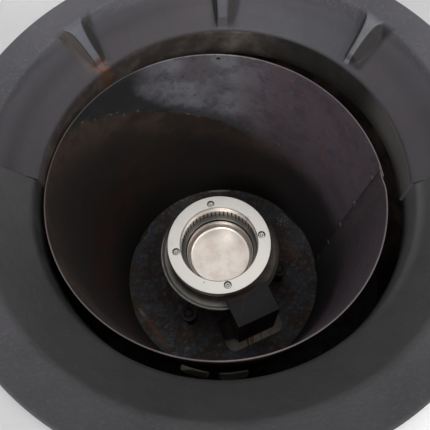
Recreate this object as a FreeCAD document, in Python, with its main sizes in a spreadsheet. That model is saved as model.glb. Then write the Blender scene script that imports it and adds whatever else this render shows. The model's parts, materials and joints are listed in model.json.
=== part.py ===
import FreeCAD, Part
import math
import os
import re

import Sketcher

# Wok range with one burner well. Millimetres, +Z up, front towards -Y. The origin is on the floor,
# under the middle of the body. The burner, the liner and the well stand on the Z axis, and the wok
# ring lies a little to the right in its opening.

os.makedirs("parts", exist_ok=True)
doc = FreeCAD.newDocument("WokRange")

DIMENSIONS = {
    # body
    "worktop_height": 850, "body_width": 700, "body_depth": 780, "front_reach": 30,
    "worktop_sheet": 2, "skirt_height": 40, "panel_sheet": 1.5, "panel_gap": 0.3,
    "side_panel_bottom": 160, "front_panel_height": 205, "splash_height": 150, "splash_depth": 18,
    "leg_size": 40, "leg_wall": 2, "leg_bottom": 60, "leg_plate": 6,
    "foot_radius": 23, "foot_pad": 14, "stud_radius": 6, "stud_length": 76, "stud_fit": 0.05,
    "nut_radius": 10, "nut_height": 8,
    # wok ring
    "opening_radius": 240, "ring_shift": 9, "ring_turn": -8,
    "flange_radius": 258, "flange_rise": 14, "seat_radius": 222, "seat_drop": 7,
    "lip_radius": 187, "lip_depth": 34, "collar_wall": 13, "collar_height": 40, "ring_body_radius": 230,
    "ring_shoulder": 10, "rear_shift": 8, "rear_lip_radius": 184, "rear_rim_radius": 224,
    "rear_bend_radius": 210, "rear_bend_rise": 20,
    "rib_angle": 45.5, "rib_root": 28, "rib_foot": 36, "rib_tip": 22, "rib_flank": 0.75,
    "rib_setback": 1.2, "rib_root_height": 5, "rib_height": 19, "rib_tip_height": 9, "rib_reach": 14,
    # well: depths below the worktop and below the floor plate, then its pieces
    "well_depth": 359, "rim_drop": 45.5, "tube_drop": 61,
    "drum_radius": 242, "drum_wall": 2, "drum_ledge": 44, "floor_plate": 5, "floor_play": 3,
    "rim_radius": 171.4, "liner_foot_radius": 150, "liner_sheet": 1.5,
    "seam_angle": 1, "seam_width": 9, "seam_rivets": 5, "rivet_radius": 2, "rivet_head": 4.5,
    "liner_hole": 2.5, "slot_ring_radius": 152, "slot_length": 44, "slot_width": 14,
    "pilot_cut_length": 92, "pilot_cut_width": 52, "pilot_cut_corner": 14, "drain_radius": 9,
    "neck_hole": 50,
    # burner
    "burner_height": 147, "head_radius": 68.5, "head_bore": 51, "head_thick": 12, "head_edge": 0.6,
    "screw_ring_radius": 57.5, "screw_turn": 5, "screw_head_radius": 4.25, "screw_head_height": 5,
    "counterbore_radius": 5, "counterbore_depth": 7, "screw_radius": 2.5, "screw_length": 30,
    "port_ring_radius": 61.5, "port_ring_height": 20, "port_count": 56, "port_width": 1.9,
    "port_depth": 2.5, "port_lip": 3.5, "port_lip_bore": 46.5,
    "cup_radius": 46.2, "cup_drop": 35, "cup_depth": 16, "cup_wall": 2, "cup_corner": 4,
    "stem_radius": 14,
    "body_radius": 64, "flange_drop": 32, "lower_flange_radius": 82, "lower_flange_height": 9,
    "flange_rim": 2.5, "cavity_radius": 50, "cavity_floor": 16,
    "foot_flange_height": 8, "foot_flange_radius": 66,
    "ear_ring_radius": 86, "ear_radius": 12, "ear_count": 3, "ear_turn": -10,
    "neck_radius": 34, "neck_bore": 26, "neck_clearance": 9, "body_wall": 6,
    "post_length": 41, "post_radius": 8,
    "bolt_radius": 4, "bolt_head_radius": 7, "bolt_head_height": 5, "bolt_thread": 14,
    # gas and air
    "tube_radius": 30, "tube_bend": 60, "tube_flange_radius": 42, "mouth_inset": 52,
    "mouth_radius": 36, "mouth_plate": 4, "shutter_plate": 2, "running_gap": 0.3,
    "injector_radius": 9, "injector_bore": 5, "injector_fit": 0.05, "orifice_radius": 1.3,
    "window_in": 14, "window_out": 31, "window_angle": 46, "block_size": 36,
    "control_inset": 38, "control_drop": 120,
    "main_offset": 120, "pilot_offset": 42, "button_offset": -60, "valve_size": 32, "valve_length": 42,
    "pilot_valve_size": 24, "valve_neck_radius": 10, "spindle_radius": 4, "spindle_fit": 0.05,
    "feed_radius": 10, "feed_bore": 7, "boss_radius": 11, "elbow_socket": 12,
    "pipe_radius": 13.4, "pipe_bore": 10.5, "manifold_inset": 44, "pipe_clearance": 22.6,
    "elbow_bend": 34, "elbow_wall": 3.5, "manifold_start": -20,
    "collar_radius": 17, "collar_width": 8, "spigot_length": 20,
    "pilot_tube_radius": 3, "pilot_tube_rise": 25, "tube_turn": 18,
    "knob_radius": 28, "pilot_knob_radius": 20, "knob_gap": 1, "knob_skirt": 9,
    "button_radius": 9, "button_reach": 14, "bezel_radius": 14, "bezel_reach": 3,
    "button_travel": 6, "button_depth": 6, "igniter_radius": 11, "igniter_length": 45,
    # pilot
    "shield_turn": 18, "shield_middle": 7, "shield_length": 58, "shield_near": 68, "shield_far": 108,
    "shield_drop": 18, "shield_clearance": 4, "shield_sheet": 1.5, "shield_relief": 71.5,
    "flange_relief": 84, "bracket_sheet": 2, "pilot_head_radius": 7, "pilot_head_height": 36,
    "probe_radius": 2.5, "electrode_radius": 3, "pilot_spacing": 17,
    # tray and frame
    "bar_width": 24, "bar_height": 20, "bar_spread": 150, "tray_play": 8.2, "runner_lap": 14,
    "tray_drop": 90, "tray_height": 35, "tray_sheet": 1.5, "tray_front_inset": 10, "tray_back_inset": 40,
    "runner_sheet": 2, "runner_height": 30, "handle_length": 140, "handle_radius": 5,
    "handle_stand": 24, "panel_screw_radius": 2.5, "panel_screw_head": 5,
    "clip_spread": 120, "clip_width": 16, "clip_wall": 4,
}

# Levels and reaches that follow from the sizes above, as cells of the same sheet.
FOLLOWING = {
    "floor_top": "worktop_height - well_depth",
    "rim_height": "worktop_height - rim_drop",
    "burner_top": "floor_top + burner_height",
    "foot_flange_bottom": "floor_top + post_length",
    "neck_bottom": "floor_top + neck_clearance",
    "shield_top": "burner_top - shield_drop",
    "shield_bottom": "floor_top + shield_clearance",
    "tube_level": "floor_top - tube_drop",
    "pilot_tube_level": "tube_level + pilot_tube_rise",
    "control_level": "worktop_height - control_drop",
    "control_setback": "body_depth / 2 - control_inset",
    "manifold_setback": "control_setback - manifold_inset",
    "mouth_reach": "control_setback - mouth_inset",
    "supply_offset": "drum_radius + drum_wall + pipe_clearance + pipe_radius",
    "tray_bottom": "tube_level - tray_drop",
    "tray_front": "body_depth / 2 - tray_front_inset",
    "tray_back": "body_depth / 2 - tray_back_inset",
    "tray_width": "body_width - 2 * (worktop_sheet + panel_gap + panel_sheet + leg_size + tray_play)",
    "runner_width": "tray_play + runner_lap",
}

sheet = doc.addObject("Spreadsheet::Sheet", "Dims")
for row, (alias, number) in enumerate(DIMENSIONS.items(), 1):
    sheet.set("A%d" % row, str(number))
    sheet.setAlias("A%d" % row, alias)
for row, (alias, formula) in enumerate(FOLLOWING.items(), 1):
    sheet.set("B%d" % row, "=" + formula)
    sheet.setAlias("B%d" % row, alias)
doc.recompute()

SUB_PARTS = []
RIGHT_ANGLE = 90
FULL_TURN = 360
AXES = {
    "Z": FreeCAD.Rotation(),
    "Y": FreeCAD.Rotation(FreeCAD.Vector(1, 0, 0), -RIGHT_ANGLE),
    "X": FreeCAD.Rotation(FreeCAD.Vector(0, 1, 0), RIGHT_ANGLE),
}


def link(formula):
    """The formula with every dimension name turned into a reference to the sheet."""

    def refer(match):
        word = match.group(0)
        return "Dims." + word if word in DIMENSIONS or word in FOLLOWING else word

    return re.sub(r"[a-z][a-z_0-9]*", refer, str(formula))


# A length can't be negative, so the probe measures every formula from far below zero.
PROBE_BASE = 100000
probe = doc.addObject("Part::Box", "Probe")


def value(formula):
    """The number that a formula of dimension names gives now."""
    probe.setExpression("Length", link("(%s) + %d" % (formula, PROBE_BASE)))
    probe.recompute()
    return float(probe.Length) - PROBE_BASE


def name_part(feature, label):
    feature.Label = label
    SUB_PARTS.append(feature)
    return feature


def place(feature, x=0, y=0, z=0, rotation=None):
    feature.Placement = FreeCAD.Placement(FreeCAD.Vector(), rotation or FreeCAD.Rotation())
    for letter, formula in (("x", x), ("y", y), ("z", z)):
        feature.setExpression(".Placement.Base." + letter, link(formula))
    return feature


def block(x, y, z):
    """A box from its low and high formulas along each axis."""
    box = doc.addObject("Part::Box", "Block")
    for size, (low, high) in (("Length", x), ("Width", y), ("Height", z)):
        box.setExpression(size, link("(%s) - (%s)" % (high, low)))
    return place(box, x[0], y[0], z[0])


def rod(radius, length, x=0, y=0, z=0, axis="Z"):
    """A cylinder that starts at the point and runs along +axis."""
    cylinder = doc.addObject("Part::Cylinder", "Rod")
    cylinder.setExpression("Radius", link(radius))
    cylinder.setExpression("Height", link(length))
    return place(cylinder, x, y, z, AXES[axis])


def cone(low_radius, high_radius, height, x=0, y=0, z=0, axis="Z"):
    shape = doc.addObject("Part::Cone", "Taper")
    shape.setExpression("Radius1", link(low_radius))
    shape.setExpression("Radius2", link(high_radius))
    shape.setExpression("Height", link(height))
    return place(shape, x, y, z, AXES[axis])


def fuse(*shapes):
    if len(shapes) == 1:
        return group(*shapes)
    joined = doc.addObject("Part::MultiFuse", "Joined")
    joined.Shapes = list(shapes)
    return joined


def group(*shapes):
    """Separate solids kept together as one feature."""
    together = doc.addObject("Part::Compound", "Group")
    together.Links = list(shapes)
    return together


def cut(base, *tools):
    result = doc.addObject("Part::Cut", "Trimmed")
    result.Base = base
    result.Tool = tools[0] if len(tools) == 1 else fuse(*tools)
    return result


def common(first, second):
    shared = doc.addObject("Part::Common", "Shared")
    shared.Base = first
    shared.Tool = second
    return shared


def body_plane(body, role):
    return next(item for item in body.Origin.OriginFeatures if item.Role == role)


def pin_point(sketch, line, x, y):
    """Hold the start of a sketch line at a place given by two formulas."""
    for kind, formula in (("DistanceX", x), ("DistanceY", y)):
        index = sketch.addConstraint(Sketcher.Constraint(kind, -1, 1, line, 1, value(formula)))
        sketch.setExpression("Constraints[%d]" % index, link(formula))


def polygon(sketch, outline):
    """A closed outline of straight lines, each corner bound to the sheet."""
    corners = [FreeCAD.Vector(value(x), value(y), 0) for x, y in outline]
    first = sketch.GeometryCount
    for index, corner in enumerate(corners):
        after = corners[(index + 1) % len(corners)]
        sketch.addGeometry(Part.LineSegment(corner, after), False)
    for index, (x, y) in enumerate(outline):
        line = first + index
        following = first + (index + 1) % len(outline)
        sketch.addConstraint(Sketcher.Constraint("Coincident", line, 2, following, 1))
        pin_point(sketch, line, x, y)


def new_sketch(body, name, role):
    sketch = body.newObject("Sketcher::SketchObject", name)
    sketch.AttachmentSupport = (body_plane(body, role), "")
    sketch.MapMode = "FlatFace"
    return sketch


def turned(name, outline, angle=FULL_TURN):
    """A body turned about its own Z axis from (radius, height) corners."""
    body = doc.addObject("PartDesign::Body", name)
    sketch = new_sketch(body, name + "_outline", "XZ_Plane")
    polygon(sketch, outline)
    feature = body.newObject("PartDesign::Revolution", name + "_turn")
    feature.Profile = sketch
    feature.ReferenceAxis = (sketch, ["V_Axis"])
    feature.setExpression("Angle", link(angle))
    body.Tip = feature
    return body


def add_circle(sketch, radius, x=0, y=0):
    """A circle whose middle and radius are bound to the sheet."""
    middle = FreeCAD.Vector(value(x), value(y), 0)
    index = sketch.addGeometry(Part.Circle(middle, FreeCAD.Vector(0, 0, 1), value(radius)), False)
    size = sketch.addConstraint(Sketcher.Constraint("Radius", index, value(radius)))
    sketch.setExpression("Constraints[%d]" % size, link(radius))
    for kind, formula in (("DistanceX", x), ("DistanceY", y)):
        held = sketch.addConstraint(Sketcher.Constraint(kind, -1, 1, index, 3, value(formula)))
        sketch.setExpression("Constraints[%d]" % held, link(formula))


def disc(name, radius, thickness, holes=()):
    """A round plate padded up from its own XY plane, with round holes (radius, x, y)."""
    body = doc.addObject("PartDesign::Body", name)
    sketch = new_sketch(body, name + "_outline", "XY_Plane")
    add_circle(sketch, radius)
    for hole_radius, x, y in holes:
        add_circle(sketch, hole_radius, x, y)
    pad = body.newObject("PartDesign::Pad", name + "_pad")
    pad.Profile = sketch
    pad.setExpression("Length", link(thickness))
    body.Tip = pad
    return body


def around(count, make, start=0):
    """Make one feature for each of count equal turns; make gets (cosine, sine) formulas."""
    made = []
    for index in range(int(value(count))):
        turn = "(%s + %d * 360 / %s)" % (start, index, count)
        made.append(make("cos(%s)" % turn, "sin(%s)" % turn))
    return made


def sweep_route(corners, bend, radius):
    """A round bar along straight runs joined by tangent arcs, as one solid."""
    edges = []
    begin = corners[0]
    for index in range(1, len(corners) - 1):
        corner = corners[index]
        back = (corners[index - 1] - corner).normalize()
        ahead = (corners[index + 1] - corner).normalize()
        half = back.getAngle(ahead) / 2
        reach = bend / math.tan(half)
        start, end = corner + back * reach, corner + ahead * reach
        middle = (back + ahead).normalize()
        apex = corner + middle * (bend / math.sin(half) - bend)
        edges.append(Part.LineSegment(begin, start).toShape())
        edges.append(Part.Arc(start, apex, end).toShape())
        begin = end
    edges.append(Part.LineSegment(begin, corners[-1]).toShape())
    path = Part.Wire(edges)
    direction = corners[1] - corners[0]
    section = Part.Wire(Part.Circle(corners[0], direction, radius).toShape())
    return path.makePipeShell([section], True, False)


def route(points, bend, radius, bore=None):
    """A pipe as a feature: points are rows of three formulas, and the sizes are formulas too."""
    corners = [FreeCAD.Vector(*[value(item) for item in point]) for point in points]
    shape = sweep_route(corners, value(bend), value(radius))
    if bore is not None:
        shape = shape.cut(sweep_route(corners, value(bend), value(bore)))
    pipe = doc.addObject("Part::Feature", "Pipe")
    pipe.Shape = shape
    return pipe


# Places that several sub-parts share, as formulas of the dimensions.
WORKTOP_UNDER = "worktop_height - worktop_sheet"
HALF_WIDTH = "body_width / 2"
HALF_DEPTH = "body_depth / 2"
SIDE_OUT = "body_width / 2 - worktop_sheet - panel_gap"
SIDE_IN = SIDE_OUT + " - panel_sheet"
END_OUT = "body_depth / 2 - worktop_sheet - panel_gap"
END_IN = END_OUT + " - panel_sheet"
RING_TOP = "worktop_height + flange_rise"
SEAT_TOP = "worktop_height + flange_rise - seat_drop"
LIP = "worktop_height - lip_depth"
FLOOR_UNDER = "floor_top - floor_plate"
HEAD_UNDER = "burner_top - head_thick"
FLANGE_TOP = "burner_top - flange_drop"
PANEL_FACE = "-(%s)" % END_OUT
PANEL_BACK = "-(%s)" % END_IN
FRONT_PANEL_BOTTOM = "(worktop_height - worktop_sheet - front_panel_height)"
VALVE_BACK = "-control_setback + valve_length / 2"
BAR_TOP = "floor_top - floor_plate - drum_wall"


def make_worktop():
    outer = block(
        ("-(%s)" % HALF_WIDTH, HALF_WIDTH),
        ("-(%s)" % HALF_DEPTH, HALF_DEPTH),
        ("worktop_height - skirt_height", "worktop_height"),
    )
    inner = block(
        ("-(body_width / 2 - worktop_sheet)", "body_width / 2 - worktop_sheet"),
        ("-(body_depth / 2 - worktop_sheet)", "body_depth / 2 - worktop_sheet"),
        ("worktop_height - skirt_height - 1", WORKTOP_UNDER),
    )
    opening = rod("opening_radius", "worktop_sheet + 2", 0, 0, "worktop_height - worktop_sheet - 1")
    name_part(cut(outer, inner, opening), "worktop")


def make_splashback():
    back = block(
        ("-(%s)" % HALF_WIDTH, HALF_WIDTH),
        ("body_depth / 2 - splash_depth", HALF_DEPTH),
        ("worktop_height", "worktop_height + splash_height"),
    )
    hollow = block(
        ("-(body_width / 2 - worktop_sheet)", "body_width / 2 - worktop_sheet"),
        ("body_depth / 2 - splash_depth + worktop_sheet", "body_depth / 2 - worktop_sheet"),
        ("worktop_height - 1", "worktop_height + splash_height - worktop_sheet"),
    )
    name_part(cut(back, hollow), "splashback")


SCREW_ACROSS = "%s - leg_size / 2" % SIDE_IN
SCREW_LEVELS = ("worktop_height - skirt_height - 20", FRONT_PANEL_BOTTOM + " + 25")


def screw_places():
    """(x, level, facing) of every panel screw: facing is -1 at the front and 1 at the back."""
    places = []
    for facing in (-1, 1):
        for side in (-1, 1):
            for level in SCREW_LEVELS:
                places.append(("%d * (%s)" % (side, SCREW_ACROSS), level, facing))
    return places


def screw_rods(radius, facing):
    """Rods through the panel and the leg walls, for the screws on one side of the body."""
    start = "%d * (%s) - (panel_sheet + leg_wall + 2)" % (facing, END_IN)
    return [
        rod(radius, "2 * (panel_sheet + leg_wall + 2)", x, start, level, "Y")
        for x, level, faces in screw_places()
        if faces == facing
    ]


def make_panels():
    for name, side in (("left_side_panel", -1), ("right_side_panel", 1)):
        faces = ["%d * (%s)" % (side, SIDE_IN), "%d * (%s)" % (side, SIDE_OUT)]
        if side < 0:
            faces.reverse()
        panel = block(faces, ("-(%s)" % END_IN, END_IN), ("side_panel_bottom", WORKTOP_UNDER))
        name_part(panel, name)
    back = block(("-(%s)" % SIDE_OUT, SIDE_OUT), (END_IN, END_OUT), ("side_panel_bottom", WORKTOP_UNDER))
    pipe_hole = rod("pipe_radius + running_gap", "panel_sheet + 4", "supply_offset", END_IN + " - 2",
                    "control_level", "Y")
    name_part(cut(back, pipe_hole, *screw_rods("panel_screw_radius", 1)), "back_panel")
    front = block(
        ("-(%s)" % SIDE_OUT, SIDE_OUT), (PANEL_FACE, PANEL_BACK), (FRONT_PANEL_BOTTOM, WORKTOP_UNDER)
    )
    start = PANEL_FACE + " - 2"
    holes = [
        rod("spindle_radius + running_gap", "panel_sheet + 4", offset, start, "control_level", "Y")
        for offset in ("main_offset", "pilot_offset")
    ]
    holes.append(
        rod("igniter_radius", "panel_sheet + 4", "button_offset", start, "control_level", "Y")
    )
    name_part(cut(front, *holes, *screw_rods("panel_screw_radius", -1)), "front_panel")


CORNERS = (
    ("front_left", -1, -1),
    ("front_right", 1, -1),
    ("back_left", -1, 1),
    ("back_right", 1, 1),
)


def leg_axis(across, along):
    """The middle of a leg as two formulas."""
    x = "%d * (%s - leg_size / 2)" % (across, SIDE_IN)
    y = "%d * (%s - leg_size / 2)" % (along, END_IN)
    return x, y


def make_legs():
    nuts = []
    for corner, across, along in CORNERS:
        x, y = leg_axis(across, along)
        outer = block(
            ("%s - leg_size / 2" % x, "%s + leg_size / 2" % x),
            ("%s - leg_size / 2" % y, "%s + leg_size / 2" % y),
            ("leg_bottom", WORKTOP_UNDER),
        )
        inner = block(
            ("%s - leg_size / 2 + leg_wall" % x, "%s + leg_size / 2 - leg_wall" % x),
            ("%s - leg_size / 2 + leg_wall" % y, "%s + leg_size / 2 - leg_wall" % y),
            ("leg_bottom + leg_plate", WORKTOP_UNDER + " + 1"),
        )
        hole = rod("stud_radius + stud_fit", "leg_plate + 2", x, y, "leg_bottom - 1")
        name_part(cut(outer, inner, hole, *screw_rods("panel_screw_radius", along)), "leg_" + corner)
        name_part(make_foot(corner, x, y), "foot_" + corner)
        nuts.append(make_nut(x, y))
    name_part(group(*nuts), "jam_nuts")


def make_foot(corner, x, y):
    foot = turned(
        "FootShape_" + corner,
        [
            ("0", "0"),
            ("foot_radius - 2", "0"),
            ("foot_radius", "2"),
            ("foot_radius", "foot_pad - 5"),
            ("stud_radius + 3", "foot_pad"),
            ("stud_radius", "foot_pad"),
            ("stud_radius", "foot_pad + stud_length"),
            ("0", "foot_pad + stud_length"),
        ],
    )
    return place(foot, x, y, 0)


def make_nut(x, y):
    nut = doc.addObject("Part::Prism", "Nut")
    nut.Polygon = 6
    nut.setExpression("Circumradius", link("nut_radius"))
    nut.setExpression("Height", link("nut_height"))
    place(nut, x, y, "leg_bottom - nut_height")
    return cut(nut, rod("stud_radius + stud_fit", "nut_height + 2", x, y, "leg_bottom - nut_height - 1"))


def make_panel_screws():
    screws = []
    for x, level, facing in screw_places():
        face = "%d * (%s)" % (facing, END_OUT)
        head_start = face + (" - panel_screw_head / 2" if facing < 0 else "")
        shank_start = face + ("" if facing < 0 else " - (panel_sheet + leg_wall)")
        head = rod("panel_screw_head", "panel_screw_head / 2", x, head_start, level, "Y")
        shank = rod("panel_screw_radius", "panel_sheet + leg_wall", x, shank_start, level, "Y")
        screws.append(fuse(head, shank))
    name_part(group(*screws), "panel_screws")


def make_drum():
    ledge = "drum_radius - drum_ledge"
    outside = "drum_radius + drum_wall"
    drum = turned(
        "DrumShape",
        [
            (ledge, BAR_TOP),
            (outside, BAR_TOP),
            (outside, WORKTOP_UNDER),
            ("drum_radius", WORKTOP_UNDER),
            ("drum_radius", FLOOR_UNDER),
            (ledge, FLOOR_UNDER),
        ],
    )
    name_part(drum, "chamber_drum")
    bars = [
        block(
            ("-(%s)" % SIDE_IN, SIDE_IN),
            ("%d * bar_spread - bar_width / 2" % side, "%d * bar_spread + bar_width / 2" % side),
            (BAR_TOP + " - bar_height", BAR_TOP),
        )
        for side in (-1, 1)
    ]
    name_part(group(*bars), "cross_bars")


def turn_about_z(feature, angle):
    """Turn a feature that was made at angle 0 about the Z axis of the range."""
    feature.Placement = FreeCAD.Placement(FreeCAD.Vector(), FreeCAD.Rotation(FreeCAD.Vector(0, 0, 1), 1))
    feature.setExpression(".Placement.Rotation.Angle", link(angle))
    return feature


SLOT_ANGLES = (33, 86, 146, 191, 248, 270)
DRAIN_HOLES = ((144.5, 150), (192.5, 144))


def floor_slot(angle):
    """One round-ended slot across the liner's foot."""
    level = FLOOR_UNDER + " - 1"
    half = "(slot_length - slot_width) / 2"
    middle = block(
        ("slot_ring_radius - slot_width / 2", "slot_ring_radius + slot_width / 2"), ("-%s" % half, half),
        (level, "floor_top + 1"),
    )
    ends = [
        rod("slot_width / 2", "floor_plate + 2", "slot_ring_radius", "%d * %s" % (side, half), level)
        for side in (-1, 1)
    ]
    return turn_about_z(fuse(middle, *ends), angle)


def pilot_block(u, v, z):
    """A box in the pilot's own turned frame: u runs along the shield and v away from the burner."""
    return turn_about_z(fuse(block(u, v, z)), "shield_turn")


def pilot_cutter():
    """The opening under the pilot, rounded at its two corners away from the burner."""
    left = "(shield_middle - pilot_cut_length / 2 - 1)"
    right = "(shield_middle + pilot_cut_length / 2 - 1)"
    far = "(-shield_far - 9)"
    upright = (FLOOR_UNDER + " - 1", "floor_top + 1")
    main = block((left, right), (far + " + pilot_cut_corner", far + " + pilot_cut_width"), upright)
    edge = block(
        (left + " + pilot_cut_corner", right + " - pilot_cut_corner"),
        (far, far + " + pilot_cut_corner"),
        upright,
    )
    corners = [
        rod("pilot_cut_corner", "floor_plate + 2", middle, far + " + pilot_cut_corner", upright[0])
        for middle in (left + " + pilot_cut_corner", right + " - pilot_cut_corner")
    ]
    neck = rod("neck_hole + 6", "floor_plate + 4", 0, 0, FLOOR_UNDER + " - 2")
    return turn_about_z(cut(fuse(main, edge, *corners), neck), "shield_turn")


def make_floor():
    plate = disc("FloorDisc", "drum_radius - floor_play", "floor_plate", [("neck_hole", "0", "0")])
    place(plate, 0, 0, FLOOR_UNDER)
    slots = [floor_slot(angle) for angle in SLOT_ANGLES]
    drains = [
        turn_about_z(
            fuse(rod("drain_radius", "floor_plate + 2", reach, 0, FLOOR_UNDER + " - 1")), str(angle)
        )
        for angle, reach in DRAIN_HOLES
    ]
    name_part(cut(plate, pilot_cutter(), *slots, *drains), "floor_plate")


def liner_radius(level):
    """The liner's outer radius at a level."""
    share = "((%s - floor_top) / (rim_height - floor_top))" % level
    return "(liner_foot_radius + (rim_radius - liner_foot_radius) * %s)" % share


def make_liner():
    wall = turned(
        "LinerWall",
        [
            ("liner_foot_radius - liner_sheet", "floor_top"),
            ("liner_foot_radius", "floor_top"),
            ("rim_radius", "rim_height"),
            ("rim_radius - liner_sheet", "rim_height"),
        ],
    )
    overlap = turned(
        "LinerOverlap",
        [
            ("liner_foot_radius - liner_sheet / 2", "floor_top"),
            ("liner_foot_radius + liner_sheet", "floor_top"),
            ("rim_radius + liner_sheet", "rim_height"),
            ("rim_radius - liner_sheet / 2", "rim_height"),
        ],
        "seam_width",
    )
    turn_about_z(overlap, "seam_angle - seam_width / 2")
    shanks, rivets = [], []
    for index in range(int(value("seam_rivets"))):
        level = "(floor_top + 25 + %d * (rim_height - floor_top - 50) / (seam_rivets - 1))" % index
        inside = liner_radius(level) + " - 2 * liner_sheet"
        length = "5 * liner_sheet"
        shanks.append(rod("rivet_radius", length, inside, 0, level, "X"))
        rivets.append(rod("rivet_head", length, inside, 0, level, "X"))
    shell = cut(fuse(wall, overlap), turn_about_z(fuse(*shanks), "seam_angle"))
    sight = rod("liner_hole", "8 * liner_sheet", "rim_radius - 4 * liner_sheet", 0, "rim_height - 7", "X")
    liner = name_part(cut(shell, turn_about_z(fuse(sight), "85")), "liner")
    name_part(cut(turn_about_z(group(*rivets), "seam_angle"), liner), "liner_rivets")


def ring_section(name, shift, outline):
    """A cutting solid for the wok ring, turned about an axis that is shift behind the ring's."""
    return place(turned(name, outline), 0, shift, 0)


def ring_rib(name, angle):
    """A rib from the flange down to the collar, flush with the seat, made at angle 0 and turned."""
    body = doc.addObject("PartDesign::Body", name)
    inner = "rear_lip_radius + rear_shift * cos(%s) + rib_setback" % angle
    seat_at_inner = "%s + (%s - lip_radius) * (lip_depth + flange_rise - seat_drop)" % (LIP, inner)
    seat_at_inner += " / (seat_radius - lip_radius)"
    stations = (
        ("flange", "seat_radius + rib_reach", "rib_root", SEAT_TOP + " + 0.5", "rib_root_height"),
        ("seat", "seat_radius", "rib_foot", SEAT_TOP, "rib_height"),
        ("tip", inner, "rib_tip", seat_at_inner, "rib_tip_height"),
    )
    sketches = []
    for station, reach, width, top, height in stations:
        sketch = new_sketch(body, "%s_%s" % (name, station), "YZ_Plane")
        sketch.setExpression(".AttachmentOffset.Base.z", link(reach))
        foot = "(%s) / 2" % width
        crest = "%s - rib_flank * %s" % (foot, height)
        polygon(
            sketch,
            [
                ("-(%s)" % foot, "%s - %s" % (top, height)),
                (foot, "%s - %s" % (top, height)),
                (crest, top),
                ("-(%s)" % crest, top),
            ],
        )
        sketches.append(sketch)
    loft = body.newObject("PartDesign::AdditiveLoft", name + "_loft")
    loft.Profile = sketches[0]
    loft.Sections = sketches[1:]
    loft.Ruled = True
    body.Tip = loft
    return turn_about_z(body, "90 + (%s)" % angle)


def make_ring():
    collar_out = "lip_radius + collar_wall"
    collar_end = LIP + " - collar_height"
    above = RING_TOP + " + 6"
    blank = turned(
        "RingBlank",
        [
            ("0", collar_end),
            (collar_out, collar_end),
            (collar_out, LIP + " - ring_shoulder"),
            ("ring_body_radius", WORKTOP_UNDER + " - ring_shoulder"),
            ("ring_body_radius", "worktop_height"),
            ("flange_radius", "worktop_height"),
            ("flange_radius", RING_TOP + " - 3"),
            ("flange_radius - 3", RING_TOP),
            ("0", RING_TOP),
        ],
    )
    flange_slope = ring_section(
        "FlangeSlope",
        0,
        [("0", SEAT_TOP), ("seat_radius", SEAT_TOP), ("flange_radius", RING_TOP), ("flange_radius", above),
         ("0", above)],
    )
    seat = ring_section(
        "FrontSeat",
        0,
        [("0", collar_end + " - 1"), ("lip_radius", collar_end + " - 1"), ("lip_radius", LIP),
         ("seat_radius", SEAT_TOP), ("0", SEAT_TOP)],
    )
    rear_floor = ring_section(
        "RearFloor",
        "rear_shift",
        [("0", collar_end + " - 1"), ("rear_lip_radius", collar_end + " - 1"), ("rear_lip_radius", LIP),
         ("rear_bend_radius", LIP + " + rear_bend_rise"), ("rear_rim_radius", RING_TOP + " - 3"),
         ("rear_rim_radius", above), ("0", above)],
    )
    reach = "flange_radius + 10"
    across = ("-(%s)" % reach, reach)
    upright = (collar_end + " - 2", RING_TOP + " + 8")
    front_half = common(seat, block(across, ("-(%s)" % reach, "0"), upright))
    rear_half = common(rear_floor, block(across, ("0", reach), upright))
    casting = cut(blank, flange_slope, front_half, rear_half)
    ribs = [
        ring_rib("RibLeft", "rib_angle"),
        ring_rib("RibMiddle", "0"),
        ring_rib("RibRight", "-rib_angle"),
    ]
    ring = common(fuse(casting, *ribs), blank)
    turn_about_z(ring, "ring_turn")
    ring.setExpression(".Placement.Base.x", link("ring_shift"))
    name_part(ring, "wok_ring")


def at_screws(make):
    return around(4, make, "screw_turn")


def make_burner_head():
    ring = turned(
        "HeadRing",
        [
            ("head_bore", HEAD_UNDER),
            ("head_radius", HEAD_UNDER),
            ("head_radius", "burner_top - head_edge"),
            ("head_radius - head_edge", "burner_top"),
            ("head_bore + 1", "burner_top"),
            ("head_bore", "burner_top - 1"),
        ],
    )
    bores = at_screws(
        lambda c, s: rod("counterbore_radius", "counterbore_depth + 1", "screw_ring_radius * " + c,
                         "screw_ring_radius * " + s, "burner_top - counterbore_depth")
    )
    holes = at_screws(
        lambda c, s: rod("screw_radius", "head_thick + 2", "screw_ring_radius * " + c,
                         "screw_ring_radius * " + s, HEAD_UNDER + " - 1")
    )
    name_part(cut(ring, *bores, *holes), "burner_head_ring")

    def screw(c, s):
        x, y = "screw_ring_radius * " + c, "screw_ring_radius * " + s
        seat = "burner_top - counterbore_depth"
        head = rod("screw_head_radius", "screw_head_height", x, y, seat)
        socket = doc.addObject("Part::Prism", "Socket")
        socket.Polygon = 6
        socket.setExpression("Circumradius", link("screw_head_radius * 0.54"))
        socket.setExpression("Height", link("screw_head_height"))
        place(socket, x, y, seat + " + screw_head_height / 2")
        shank = rod("screw_radius", "screw_length", x, y, seat + " - screw_length")
        return fuse(cut(head, socket), shank)

    name_part(group(*at_screws(screw)), "burner_screws")


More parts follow.
